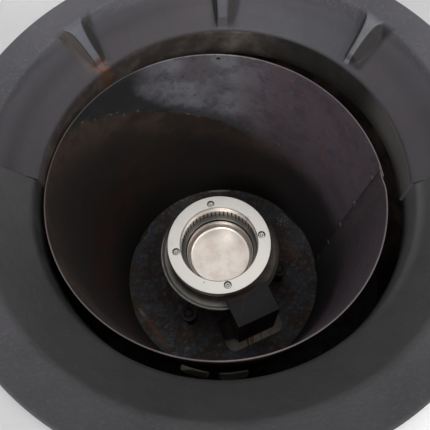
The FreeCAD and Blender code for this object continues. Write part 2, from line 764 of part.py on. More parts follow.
def make_port_ring():
    level = HEAD_UNDER + " - port_ring_height"
    body = turned(
        "PortRing",
        [
            ("port_lip_bore", level),
            ("port_ring_radius", level),
            ("port_ring_radius", HEAD_UNDER),
            ("head_bore", HEAD_UNDER),
            ("head_bore", level + " + port_lip"),
            ("port_lip_bore", level + " + port_lip"),
        ],
    )
    sketch = new_sketch(body, "PortSlot_outline", "XY_Plane")
    sketch.setExpression(".AttachmentOffset.Base.z", link(HEAD_UNDER))
    half = "port_width / 2"
    near, far = "head_bore - 1", "head_bore + port_depth"
    polygon(sketch, [(near, "-" + half), (far, "-" + half), (far, half), (near, half)])
    pocket = body.newObject("PartDesign::Pocket", "PortSlot")
    pocket.Profile = sketch
    pocket.setExpression("Length", link("port_ring_height - port_lip"))
    doc.recompute()
    pattern = body.newObject("PartDesign::PolarPattern", "PortSlots")
    pattern.Originals = [pocket]
    pattern.Axis = (sketch, ["N_Axis"])
    pattern.Angle = FULL_TURN
    pattern.setExpression("Occurrences", link("port_count"))
    body.Tip = pattern
    holes = at_screws(
        lambda c, s: rod("screw_radius", "port_ring_height + 2", "screw_ring_radius * " + c,
                         "screw_ring_radius * " + s, level + " - 1")
    )
    name_part(cut(body, *holes), "port_ring")


def make_cup():
    rim = "burner_top - cup_drop"
    floor = rim + " - cup_depth"
    seat = "foot_flange_bottom + foot_flange_height + cavity_floor"
    cup = turned(
        "CupShape",
        [
            ("0", seat),
            ("stem_radius", seat),
            ("stem_radius", floor + " - cup_wall"),
            ("cup_radius - cup_corner", floor + " - cup_wall"),
            ("cup_radius", floor + " - cup_wall + cup_corner"),
            ("cup_radius", rim),
            ("cup_radius - cup_wall", rim),
            ("cup_radius - cup_wall", floor + " + cup_corner"),
            ("cup_radius - cup_wall - cup_corner", floor),
            ("0", floor),
        ],
    )
    arm = block(("0", "cavity_radius - running_gap - 0.2"), ("-4", "4"), (seat, seat + " + 8"))
    arms = [turn_about_z(fuse(arm), "%d * 120 + 30" % index) for index in range(3)]
    name_part(fuse(cup, *arms), "burner_cup")


def ear_places(make):
    return around("ear_count", make, "ear_turn")


FOOT_TOP = "foot_flange_bottom + foot_flange_height"


def make_burner_body():
    step = "port_ring_radius"
    under_flange = FLANGE_TOP + " - lower_flange_height"
    outline = [
        ("neck_bore", "neck_bottom"),
        ("neck_radius", "neck_bottom"),
        ("neck_radius", "foot_flange_bottom"),
        ("foot_flange_radius", "foot_flange_bottom"),
        ("foot_flange_radius", FOOT_TOP),
        ("cavity_radius + body_wall", FOOT_TOP),
        ("cavity_radius + body_wall", FOOT_TOP + " + cavity_floor + 4"),
        ("lower_flange_radius - flange_rim", under_flange),
        ("lower_flange_radius", under_flange + " + 2"),
        ("lower_flange_radius", FLANGE_TOP + " - 1"),
        ("lower_flange_radius - 1", FLANGE_TOP),
        ("lower_flange_radius - flange_rim", FLANGE_TOP),
        ("lower_flange_radius - flange_rim - 3", FLANGE_TOP + " - 3"),
        ("body_radius", FLANGE_TOP + " - 3"),
        ("body_radius", HEAD_UNDER),
        (step, HEAD_UNDER),
        (step, HEAD_UNDER + " - port_ring_height"),
        ("cavity_radius", HEAD_UNDER + " - port_ring_height"),
        ("cavity_radius", FOOT_TOP + " + cavity_floor"),
        ("neck_bore", FOOT_TOP + " + cavity_floor"),
    ]
    casting = turned("BurnerCasting", outline)
    ears = []
    for index in range(int(value("ear_count"))):
        web = block(("cavity_radius", "ear_ring_radius"), ("-ear_radius * 0.8", "ear_radius * 0.8"),
                    ("foot_flange_bottom", FOOT_TOP))
        end = rod("ear_radius", "foot_flange_height", "ear_ring_radius", 0, "foot_flange_bottom")
        ears.append(turn_about_z(fuse(web, end), "ear_turn + %d * 360 / ear_count" % index))
    holes = ear_places(
        lambda c, s: rod("bolt_radius", "foot_flange_height + 2", "ear_ring_radius * " + c,
                         "ear_ring_radius * " + s, "foot_flange_bottom - 1")
    )
    screw_holes = at_screws(
        lambda c, s: rod("screw_radius", "screw_length + 1", "screw_ring_radius * " + c,
                         "screw_ring_radius * " + s, "burner_top - counterbore_depth - screw_length - 1")
    )
    name_part(cut(fuse(casting, *ears), *holes, *screw_holes), "burner_body")


def make_burner_posts():
    def post(c, s):
        x, y = "ear_ring_radius * " + c, "ear_ring_radius * " + s
        column = rod("post_radius", "foot_flange_bottom - floor_top", x, y, "floor_top")
        bore_start = "foot_flange_bottom - bolt_thread - 3"
        return cut(column, rod("bolt_radius", "bolt_thread + 4", x, y, bore_start))

    def bolt(c, s):
        x, y = "ear_ring_radius * " + c, "ear_ring_radius * " + s
        shank_start = "foot_flange_bottom - bolt_thread"
        shank = rod("bolt_radius", "foot_flange_height + bolt_thread", x, y, shank_start)
        head = rod("bolt_head_radius", "bolt_head_height * 0.6", x, y, FOOT_TOP)
        dome = cone("bolt_head_radius", "bolt_head_radius * 0.5", "bolt_head_height * 0.4", x, y,
                    FOOT_TOP + " + bolt_head_height * 0.6")
        return fuse(shank, head, dome)

    name_part(group(*ear_places(post)), "burner_posts")
    name_part(group(*ear_places(bolt)), "burner_bolts")


SHIELD_LEFT = "shield_middle - shield_length / 2"
SHIELD_RIGHT = "shield_middle + shield_length / 2"
INSIDE_SHIELD = (SHIELD_LEFT + " + shield_sheet", SHIELD_RIGHT + " - shield_sheet")
BRACKET_TOP = "foot_flange_bottom"
PILOT_ROW = "-shield_far + 20"


def pilot_place(u):
    """Formulas of a point on the pilot's row, u along the shield from its middle."""
    along = "(shield_middle + (%s))" % u
    row = "(%s)" % PILOT_ROW
    x = "%s * cos(shield_turn) - %s * sin(shield_turn)" % (along, row)
    y = "%s * sin(shield_turn) + %s * cos(shield_turn)" % (along, row)
    return "(%s)" % x, "(%s)" % y


def make_pilot():
    outer = block(
        (SHIELD_LEFT, SHIELD_RIGHT),
        ("-shield_far", "-shield_near"),
        ("shield_bottom", "shield_top"),
    )
    inner = block(
        INSIDE_SHIELD,
        ("-shield_far + shield_sheet", "-shield_near + 5"),
        ("shield_bottom - 1", "shield_top - shield_sheet"),
    )
    head_relief = rod("shield_relief", "shield_top", 0, 0, "shield_bottom - 1")
    flange_relief = rod("flange_relief", "lower_flange_height + 14", 0, 0,
                        FLANGE_TOP + " - lower_flange_height - 12")
    shield = cut(outer, inner, head_relief, flange_relief)
    name_part(turn_about_z(shield, "shield_turn"), "pilot_shield")
    under = BRACKET_TOP + " - bracket_sheet"
    plate = pilot_block(
        INSIDE_SHIELD,
        ("-shield_far + shield_sheet", "-foot_flange_radius + 16"),
        (under, BRACKET_TOP),
    )
    holes = []
    for u, radius in (("0", "pilot_tube_radius"), ("pilot_spacing", "probe_radius"),
                      ("-pilot_spacing", "electrode_radius")):
        x, y = pilot_place(u)
        holes.append(rod(radius, "bracket_sheet + 4", x, y, under + " - 2"))
    name_part(cut(plate, *holes), "pilot_bracket")
    x, y = pilot_place("0")
    burner = turned(
        "PilotBurnerShape",
        [
            ("0", BRACKET_TOP),
            ("pilot_head_radius - 1", BRACKET_TOP),
            ("pilot_head_radius - 1", BRACKET_TOP + " + pilot_head_height / 2"),
            ("pilot_head_radius", BRACKET_TOP + " + pilot_head_height / 2"),
            ("pilot_head_radius", BRACKET_TOP + " + pilot_head_height"),
            ("pilot_head_radius - 2", BRACKET_TOP + " + pilot_head_height"),
            ("pilot_head_radius - 2", BRACKET_TOP + " + pilot_head_height * 0.6"),
            ("0", BRACKET_TOP + " + pilot_head_height * 0.6"),
        ],
    )
    name_part(place(burner, x, y, 0), "pilot_burner")
    x, y = pilot_place("-pilot_spacing")
    insulator = rod("electrode_radius", "45", x, y, BRACKET_TOP + " - 15")
    wire = rod("electrode_radius / 3", "12", x, y, BRACKET_TOP + " + 30")
    name_part(fuse(insulator, wire), "spark_electrode")


def make_pilot_lines():
    x, y = pilot_place("0")
    valve_under = "control_level - pilot_valve_size / 2"
    tube = route(
        [
            ("pilot_offset", "-control_setback", valve_under),
            ("pilot_offset", "-control_setback", "pilot_tube_level"),
            (x, y, "pilot_tube_level"),
            (x, y, BRACKET_TOP),
        ],
        "tube_turn",
        "pilot_tube_radius",
    )
    name_part(tube, "pilot_tube")
    x, y = pilot_place("pilot_spacing")
    lead_level = "pilot_tube_level - 9"
    lead_x, lead_y = "main_offset - 12", "-control_setback + 12"
    lead = route(
        [
            (x, y, BRACKET_TOP + " - 10"),
            (x, y, lead_level),
            (x, lead_y, lead_level),
            (lead_x, lead_y, lead_level),
            (lead_x, lead_y, "control_level - valve_size / 2"),
        ],
        "tube_turn",
        "probe_radius * 0.6",
    )
    probe_rod = rod("probe_radius", "52", x, y, BRACKET_TOP + " - 12")
    name_part(fuse(lead, probe_rod), "thermocouple")


MOUTH = "-mouth_reach"


def window_cutters(name, thickness):
    """Four sector windows, as solids along +Z through a plate that starts at 0."""
    cutters = []
    for index in range(4):
        sector = turned(
            "%s%d" % (name, index),
            [("window_in", "-1"), ("window_out", "-1"), ("window_out", thickness + " + 1"),
             ("window_in", thickness + " + 1")],
            "window_angle",
        )
        cutters.append(turn_about_z(sector, "%d * 90 - window_angle / 2 + 45" % index))
    return cutters


def make_mixing_tube():
    level = "neck_bottom - 6"
    points = [("0", "0", level), ("0", "0", "tube_level"), ("0", MOUTH + " + mouth_plate", "tube_level")]
    tube = route(points, "tube_bend", "tube_radius", "neck_bore")
    flange = cut(rod("tube_flange_radius", "6", 0, 0, level), rod("neck_bore", "8", 0, 0, level + " - 1"))
    name_part(fuse(tube, flange), "mixing_tube")
    plate = disc("MouthDisc", "mouth_radius", "mouth_plate", [("injector_radius", "0", "0")])
    mouth = cut(plate, *window_cutters("MouthWindow", "mouth_plate"))
    name_part(place(mouth, 0, MOUTH, "tube_level", AXES["Y"]), "mouth_plate")
    bore = "injector_radius + injector_fit"
    shutter_disc = disc("ShutterDisc", "mouth_radius", "shutter_plate", [(bore, "0", "0")])
    lever = block(("-5", "5"), ("mouth_radius - 3", "mouth_radius + 16"), ("0", "shutter_plate"))
    shutter = cut(fuse(shutter_disc, lever), *window_cutters("ShutterWindow", "shutter_plate"))
    shutter_start = MOUTH + " - running_gap - shutter_plate"
    name_part(place(shutter, 0, shutter_start, "tube_level", AXES["Y"]), "air_shutter")


BLOCK_FRONT = "-control_setback - block_size / 2"
BLOCK_BACK = "-control_setback + block_size / 2"


def make_injector():
    half = "block_size / 2"
    holder = block(
        ("-" + half, half), (BLOCK_FRONT, BLOCK_BACK), ("tube_level - " + half, "tube_level + " + half)
    )
    bore = rod("injector_bore", "block_size", 0, "-control_setback", "tube_level", "Y")
    side = rod("feed_bore", "block_size", 0, "-control_setback", "tube_level", "X")
    name_part(cut(holder, bore, side), "injector_block")
    shoulder = "(%s - 2 * running_gap - shutter_plate) - (%s)" % (MOUTH, BLOCK_BACK)
    tip = "(%s + mouth_plate + 4) - (%s)" % (MOUTH, BLOCK_BACK)
    injector = turned(
        "InjectorShape",
        [
            ("injector_bore", "0"),
            ("injector_radius + 4", "0"),
            ("injector_radius + 4", shoulder),
            ("injector_radius", shoulder),
            ("injector_radius", tip + " - 3"),
            ("injector_radius - 3", tip),
            ("orifice_radius", tip),
            ("orifice_radius", tip + " - 4"),
            ("injector_bore", tip + " - 6"),
        ],
    )
    name_part(place(injector, 0, BLOCK_BACK, "tube_level", AXES["Y"]), "gas_injector")
    feed = route(
        [
            ("main_offset", "-control_setback", "control_level - valve_size / 2"),
            ("main_offset", "-control_setback", "tube_level"),
            (half, "-control_setback", "tube_level"),
        ],
        "tube_turn + 10",
        "feed_radius",
        "feed_bore",
    )
    name_part(feed, "feed_pipe")


def valve(offset, size, label):
    half = "%s / 2" % size
    body = block(
        ("%s - %s" % (offset, half), "%s + %s" % (offset, half)),
        ("-control_setback - valve_length / 2", VALVE_BACK),
        ("control_level - " + half, "control_level + " + half),
    )
    front = "-control_setback - valve_length / 2"
    neck_length = "(%s) - (%s)" % (front, PANEL_BACK)
    neck = rod("valve_neck_radius", neck_length, offset, PANEL_BACK, "control_level", "Y")
    bore = rod("spindle_radius + spindle_fit", "-(%s) - control_setback + 2" % PANEL_BACK, offset,
               PANEL_BACK + " - 1", "control_level", "Y")
    name_part(cut(fuse(body, neck), bore), label)


KNOB_TIP = "-(body_depth / 2 + front_reach)"
KNOB_BACK = PANEL_FACE + " - knob_gap"


def knob(name, offset, radius):
    """A round knob with a grip bar, on its spindle."""
    skirt = "(knob_skirt)"
    length = "(%s) - (%s)" % (KNOB_BACK, KNOB_TIP)
    skirt_start = "%s - %s" % (KNOB_BACK, skirt)
    base = rod(radius, skirt, offset, skirt_start, "control_level", "Y")
    crown = cone(radius + " * 0.62", radius + " * 0.8", "%s - %s" % (length, skirt), offset, KNOB_TIP,
                 "control_level", "Y")
    grip = block(
        ("%s - %s * 0.2" % (offset, radius), "%s + %s * 0.2" % (offset, radius)),
        (KNOB_TIP, skirt_start),
        ("control_level - %s * 0.92" % radius, "control_level + %s * 0.92" % radius),
    )
    spindle_end = KNOB_TIP + " + 12"
    bore = rod("spindle_radius", "40", offset, spindle_end, "control_level", "Y")
    name_part(cut(fuse(base, crown, grip), bore), name + "_knob")
    spindle = rod("spindle_radius", "-control_setback - (%s) - 2" % spindle_end, offset, spindle_end,
                  "control_level", "Y")
    name_part(spindle, name + "_spindle")


def make_igniter():
    face = PANEL_FACE + " - bezel_reach"
    bezel = rod("bezel_radius", "bezel_reach", "button_offset", face, "control_level", "Y")
    barrel = rod("igniter_radius", "igniter_length", "button_offset", PANEL_FACE, "control_level", "Y")
    bore_length = "button_depth + bezel_reach + button_travel + 3"
    bore = rod("button_radius + running_gap", bore_length, "button_offset", face + " - 1",
               "control_level", "Y")
    name_part(cut(fuse(bezel, barrel), bore), "igniter_body")
    front = PANEL_FACE + " - bezel_reach - button_reach"
    button = rod("button_radius", "button_reach + bezel_reach + button_depth", "button_offset", front,
                 "control_level", "Y")
    name_part(button, "ignition_button")


MANIFOLD_END = "supply_offset - elbow_bend"
SUPPLY_START = "-manifold_setback + elbow_bend"
SUPPLY_END = "body_depth / 2 + front_reach"


def make_pipework():
    length = "%s - manifold_start" % MANIFOLD_END
    pipe = rod("pipe_radius", length, "manifold_start", "-manifold_setback", "control_level", "X")
    boss_length = "(-manifold_setback) - (%s)" % VALVE_BACK
    bosses = [
        rod("boss_radius", boss_length, offset, VALVE_BACK, "control_level", "Y")
        for offset in ("main_offset", "pilot_offset")
    ]
    bore = rod("pipe_bore", length, "manifold_start + 4", "-manifold_setback", "control_level", "X")
    name_part(cut(fuse(pipe, *bosses), bore), "gas_manifold")
    socket = "elbow_socket"
    sleeve = route(
        [
            (MANIFOLD_END + " - " + socket, "-manifold_setback", "control_level"),
            ("supply_offset", "-manifold_setback", "control_level"),
            ("supply_offset", SUPPLY_START + " + " + socket, "control_level"),
        ],
        "elbow_bend",
        "pipe_radius + elbow_wall",
        "pipe_bore",
    )
    near = rod("pipe_radius", socket + " + 1", MANIFOLD_END + " - %s - 1" % socket, "-manifold_setback",
               "control_level", "X")
    far = rod("pipe_radius", socket + " + 1", "supply_offset", SUPPLY_START, "control_level", "Y")
    name_part(cut(sleeve, near, far), "pipe_elbow")
    run = "(%s) - (%s)" % (SUPPLY_END, SUPPLY_START)
    supply = cut(
        fuse(
            rod("pipe_radius", run, "supply_offset", SUPPLY_START, "control_level", "Y"),
            rod("collar_radius", "collar_width", "supply_offset",
                SUPPLY_END + " - spigot_length - collar_width", "control_level", "Y"),
        ),
        rod("pipe_bore", run + " + 2", "supply_offset", SUPPLY_START + " - 1", "control_level", "Y"),
    )
    name_part(supply, "supply_pipe")
    clips = []
    for side in (-1, 1):
        middle = "%d * clip_spread" % side
        clip = block(
            ("supply_offset - pipe_radius - clip_wall", SIDE_IN),
            ("%s - clip_width / 2" % middle, "%s + clip_width / 2" % middle),
            ("control_level - pipe_radius - clip_wall", "control_level + pipe_radius + clip_wall"),
        )
        hole = rod("pipe_radius", "clip_width + 2", "supply_offset", "%s - clip_width / 2 - 1" % middle,
                   "control_level", "Y")
        clips.append(cut(clip, hole))
    name_part(group(*clips), "pipe_clips")


def make_tray():
    half = "tray_width / 2"
    outer = block(
        ("-" + half, half), ("-tray_front", "tray_back"), ("tray_bottom", "tray_bottom + tray_height")
    )
    inner = block(
        ("-(%s - tray_sheet)" % half, half + " - tray_sheet"),
        ("-tray_front + tray_sheet", "tray_back - tray_sheet"),
        ("tray_bottom + tray_sheet", "tray_bottom + tray_height + 1"),
    )
    name_part(cut(outer, inner), "drip_tray")
    level = "tray_bottom + tray_height / 2"
    out = "-tray_front - handle_stand"
    bar = rod("handle_radius", "handle_length", "-handle_length / 2", out, level, "X")
    stands = [
        rod("handle_radius * 0.8", "handle_stand", "%d * (handle_length / 2 - 12)" % side, out, level, "Y")
        for side in (-1, 1)
    ]
    name_part(fuse(bar, *stands), "tray_handle")
    ledge_top = "tray_bottom - running_gap"
    rails = []
    leg_face = "(%s - leg_size)" % SIDE_IN
    for side in (-1, 1):
        ledge_ends = ["%d * (%s - runner_width)" % (side, leg_face), "%d * %s" % (side, leg_face)]
        web_ends = ["%d * (%s - runner_sheet)" % (side, leg_face), "%d * %s" % (side, leg_face)]
        if side < 0:
            ledge_ends.reverse()
            web_ends.reverse()
        along = ("-(%s)" % END_IN, END_IN)
        ledge = block(ledge_ends, along, (ledge_top + " - runner_sheet", ledge_top))
        web = block(web_ends, along, (ledge_top + " - runner_sheet", ledge_top + " + runner_height"))
        rails.append(fuse(ledge, web))
    name_part(group(*rails), "tray_runners")


def make_all():
    make_worktop()
    make_splashback()
    make_panels()
    make_legs()
    make_panel_screws()
    make_drum()
    make_floor()
    make_liner()
    make_ring()
    make_burner_head()
    make_port_ring()
    make_cup()
    make_burner_body()
    make_burner_posts()
    make_pilot()
    make_pilot_lines()
    make_mixing_tube()
    make_injector()
    valve("main_offset", "valve_size", "gas_valve")
    valve("pilot_offset", "pilot_valve_size", "pilot_valve")
    knob("gas", "main_offset", "knob_radius")
    knob("pilot", "pilot_offset", "pilot_knob_radius")
    make_igniter()
    make_pipework()
    make_tray()


def check_and_write():
    doc.removeObject(probe.Name)
    doc.recompute()
    failed = [item for item in doc.Objects if "Invalid" in item.State or "Error" in item.State]
    for item in failed:
        print("failed:", item.Name, item.Label, item.State, [user.Label for user in item.InList])
    if failed:
        raise RuntimeError("%d features failed" % len(failed))
    for item in SUB_PARTS:
        shape = item.Shape
        if shape.isNull() or not shape.isValid() or shape.Volume <= 0:
            raise RuntimeError("%s has no sound shape" % item.Label)
    for item in SUB_PARTS:
        item.Shape.exportStep("parts/%s.step" % item.Label)
        print("%-18s %2d solids %9.0f mm3" % (item.Label, len(item.Shape.Solids), item.Shape.Volume))


make_all()
check_and_write()
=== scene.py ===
import json
import math

import bmesh
import bpy
import numpy as np
from mathutils import Matrix, Vector


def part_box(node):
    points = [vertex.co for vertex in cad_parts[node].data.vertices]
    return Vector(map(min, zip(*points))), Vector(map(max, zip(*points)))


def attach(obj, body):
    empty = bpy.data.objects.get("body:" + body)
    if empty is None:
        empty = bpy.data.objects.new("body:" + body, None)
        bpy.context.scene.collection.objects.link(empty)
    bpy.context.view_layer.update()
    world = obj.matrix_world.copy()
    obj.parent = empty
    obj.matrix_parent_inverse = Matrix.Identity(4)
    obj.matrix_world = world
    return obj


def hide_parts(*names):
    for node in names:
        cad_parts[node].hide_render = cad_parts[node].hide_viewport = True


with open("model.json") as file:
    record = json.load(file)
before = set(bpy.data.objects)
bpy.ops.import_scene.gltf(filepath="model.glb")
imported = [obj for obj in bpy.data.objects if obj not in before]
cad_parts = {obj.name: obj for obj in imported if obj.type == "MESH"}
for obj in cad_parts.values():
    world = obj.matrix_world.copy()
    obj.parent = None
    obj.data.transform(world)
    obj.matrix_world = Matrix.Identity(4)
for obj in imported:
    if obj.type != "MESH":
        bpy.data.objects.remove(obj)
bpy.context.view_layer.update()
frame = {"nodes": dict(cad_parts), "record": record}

# Sizes shared by the pieces, in metres.
RING_X = 0.009
RING_TURN = math.radians(-8)
LIP_R, LIP_Z = 0.187, 0.816
SEAT_R, SEAT_Z = 0.222, 0.857
FLANGE_R, FLANGE_Z = 0.258, 0.864
REAR_SHIFT, REAR_LIP_R, REAR_RIM_R, REAR_RIM_Z = 0.008, 0.184, 0.224, 0.861
REAR_BEND_R, REAR_BEND_Z = 0.210, 0.836

# The ring's ribs: angle, offset of the crest, its half width, and the run of each flank for its fall.
RIBS = (
    (math.radians(46.4), 0.0045, 0.0024, 0.35, 1.3),
    (math.radians(90), 0.0040, 0.0050, 0.4, 1.0),
    (math.radians(135.5), -0.0030, 0.0034, 0.85, 0.95),
)
# A rib spreads by FLARE on each side at the radius FLARE_R, and less and less inside it.
FLARE, FLARE_R, FLARE_RUN = 0.011, 0.231, 0.008

# The liner, above the floor plate.
FLOOR_Z, RIM_Z, LINER_FOOT_R, LINER_RIM_R = 0.491, 0.8045, 0.150, 0.1714
LINER_SHEET = 0.0015
SEAM = math.radians(1)
OVAL, OVAL_TURN = 0.003, math.radians(-38.7)

# The burner: the top face of its lower flange, and the screws of its top ring.
BURNER_FLANGE_Z = 0.603
SCREW_CIRCLE = 0.0575
SCREWS = [
    (SCREW_CIRCLE * math.cos(turn), SCREW_CIRCLE * math.sin(turn))
    for turn in (math.radians(5 + 90 * side) for side in range(4))
]


# ---------------------------------------------------------------- shader maths


class Wire:
    """A value in a material's node tree, with the operators that this script uses."""

    def __init__(self, tree, socket):
        self.tree = tree
        self.socket = socket

    def maths(self, operation, *others, clamp=False):
        values = {index + 1: other for index, other in enumerate(others)}
        return self.make("ShaderNodeMath", {"operation": operation, "use_clamp": clamp}, {0: self, **values})

    def make(self, kind, settings=None, inputs=None, output=0):
        """A new node: its settings first, then the values or links of its sockets."""
        node = self.tree.nodes.new(kind)
        for name, setting in (settings or {}).items():
            setattr(node, name, setting)
        for name, given in (inputs or {}).items():
            if isinstance(given, Wire):
                self.tree.links.new(given.socket, node.inputs[name])
            else:
                node.inputs[name].default_value = given
        return Wire(self.tree, node.outputs[output])

    def __add__(self, other):
        return self.maths("ADD", other)

    __radd__ = __add__

    def __mul__(self, other):
        return self.maths("MULTIPLY", other)

    __rmul__ = __mul__

    def __sub__(self, other):
        return self.maths("SUBTRACT", other)

    def __rsub__(self, other):
        return (self * -1) + other

    def __truediv__(self, other):
        return self.maths("DIVIDE", other)

    def __pow__(self, other):
        return self.maths("POWER", other)

    def step(self, low, high):
        """0 below low and 1 above high, smooth between."""
        return self.make(
            "ShaderNodeMapRange",
            {"interpolation_type": "SMOOTHSTEP"},
            {"Value": self, "From Min": low, "From Max": high, "To Min": 0.0, "To Max": 1.0},
        )

    def limit(self):
        """Kept between 0 and 1."""
        return self.maths("ADD", 0.0, clamp=True)

    def end(self, kind):
        """Link this value to a new output node, which closes the tree."""
        self.tree.links.new(self.socket, self.tree.nodes.new(kind).inputs[0])


class Finish:
    """A material under construction: places, noises, colour mixing and the closing shader."""

    def __init__(self, name):
        self.material = bpy.data.materials.new(name)
        self.material.use_nodes = True
        self.tree = self.material.node_tree
        self.tree.nodes.clear()
        self.start = Wire(self.tree, None)
        self.place = self.make("ShaderNodeTexCoord", output="Object")
        split = self.make("ShaderNodeSeparateXYZ", inputs={0: self.place})
        outputs = split.socket.node.outputs
        self.x, self.y, self.z = (Wire(self.tree, outputs[index]) for index in range(3))

    def make(self, kind, settings=None, inputs=None, output=0):
        return self.start.make(kind, settings, inputs, output)

    def noise(self, size, detail=3.0, rough=0.55, stretch=(1, 1, 1), lift=0.0):
        """Noise whose grains are about size metres across."""
        shift = (lift, lift * 0.7, lift * 1.3)
        sockets = {"Vector": self.place, "Scale": stretch, "Location": shift}
        spread = self.make("ShaderNodeMapping", inputs=sockets)
        sockets = {"Vector": spread, "Scale": 1.0 / size, "Detail": detail, "Roughness": rough}
        return self.make("ShaderNodeTexNoise", inputs=sockets)

    def cells(self, size):
        """Rounded cells about size metres across."""
        return self.make("ShaderNodeTexVoronoi", inputs={"Vector": self.place, "Scale": 1.0 / size})

    def reach(self, x=0.0, y=0.0):
        """Distance in plan from an upright axis."""
        across, along = self.x - x, self.y - y
        return (across * across + along * along) ** 0.5

    def mix(self, factor, first, second):
        """A colour that goes from first to second."""
        first = first if isinstance(first, Wire) else (*first, 1)
        second = second if isinstance(second, Wire) else (*second, 1)
        return self.make("ShaderNodeMix", {"data_type": "RGBA"}, {"Factor": factor, 6: first, 7: second}, 2)

    def blend(self, factor, first, second):
        """A number that goes from first to second."""
        return factor * (second - first) + first

    def bump(self, height, distance, strength=1.0, after=None):
        inputs = {"Height": height, "Distance": distance, "Strength": strength}
        if after is not None:
            inputs["Normal"] = after
        return self.make("ShaderNodeBump", inputs=inputs)

    def close(self, colour, roughness, metallic, normal=None):
        """Wire the shader to the material's output, and give the finished material."""
        inputs = {"Base Color": colour, "Roughness": roughness, "Metallic": metallic}
        if normal is not None:
            inputs["Normal"] = normal
        self.make("ShaderNodeBsdfPrincipled", inputs=inputs).end("ShaderNodeOutputMaterial")
        return self.material


# ---------------------------------------------------------------- finishes


def rib_wear_and_shading(f, colour):
    """Blued, worn crests on the ring's ribs with a painted highlight, a dark line beside each, and flanks
    that differ from rib to rib, the right ones painted darker as shade.
    """
    # Per rib: the left flank, the right flank painted darker as shade, and the crest, worn and with a
    # painted highlight.
    tones = (
        ((0.05, 0.046, 0.052), (0.012, 0.0095, 0.0085), (0.18, 0.185, 0.2)),
        ((0.03, 0.029, 0.029), (0.04, 0.037, 0.036), (0.075, 0.075, 0.088)),
        ((0.062, 0.05, 0.044), (0.026, 0.027, 0.026), (0.13, 0.135, 0.16)),
    )
    streaks = f.noise(0.006, 3, 0.6, lift=6.0)
    for (angle, offset, half, left_run, right_run), (left_tone, right_shaded_tone, crest_wear_and_highlight_tone) in zip(RIBS, tones):
        turn = angle + RING_TURN
        along = (f.x - RING_X) * math.cos(turn) + f.y * math.sin(turn)
        aside = f.y * math.cos(turn) - (f.x - RING_X) * math.sin(turn) - offset
        away = aside * -1
        flare = ((along - FLARE_R) / FLARE_RUN).maths("EXPONENT") * FLARE
        within = along.step(0.192, 0.196) * (1 - along.step(0.224, 0.232))
        left = within * (aside - flare).step(half, half + 0.0012)
        left = left * (1 - (aside - flare).step(0.008 + left_run * 0.006, 0.011 + left_run * 0.009))
        right = within * (away - flare).step(half, half + 0.0014)
        right = right * (1 - (away - flare).step(0.008 + right_run * 0.005, 0.012 + right_run * 0.008))
        crest = within * (1 - (aside.maths("ABSOLUTE") - flare).step(half - 0.0004, half + 0.0008))
        line = within * (1 - (aside - flare - half - 0.0008).maths("ABSOLUTE").step(0.0003, 0.0010))
        colour = f.mix(left * f.blend(streaks, 0.75, 1.0), colour, left_tone)
        colour = f.mix(right * f.blend(streaks, 0.75, 1.0), colour, right_shaded_tone)
        colour = f.mix(crest * f.blend(streaks, 0.45, 1.0), colour, crest_wear_and_highlight_tone)
        colour = f.mix(line * 0.7, colour, (0.012, 0.01, 0.009))
    return colour


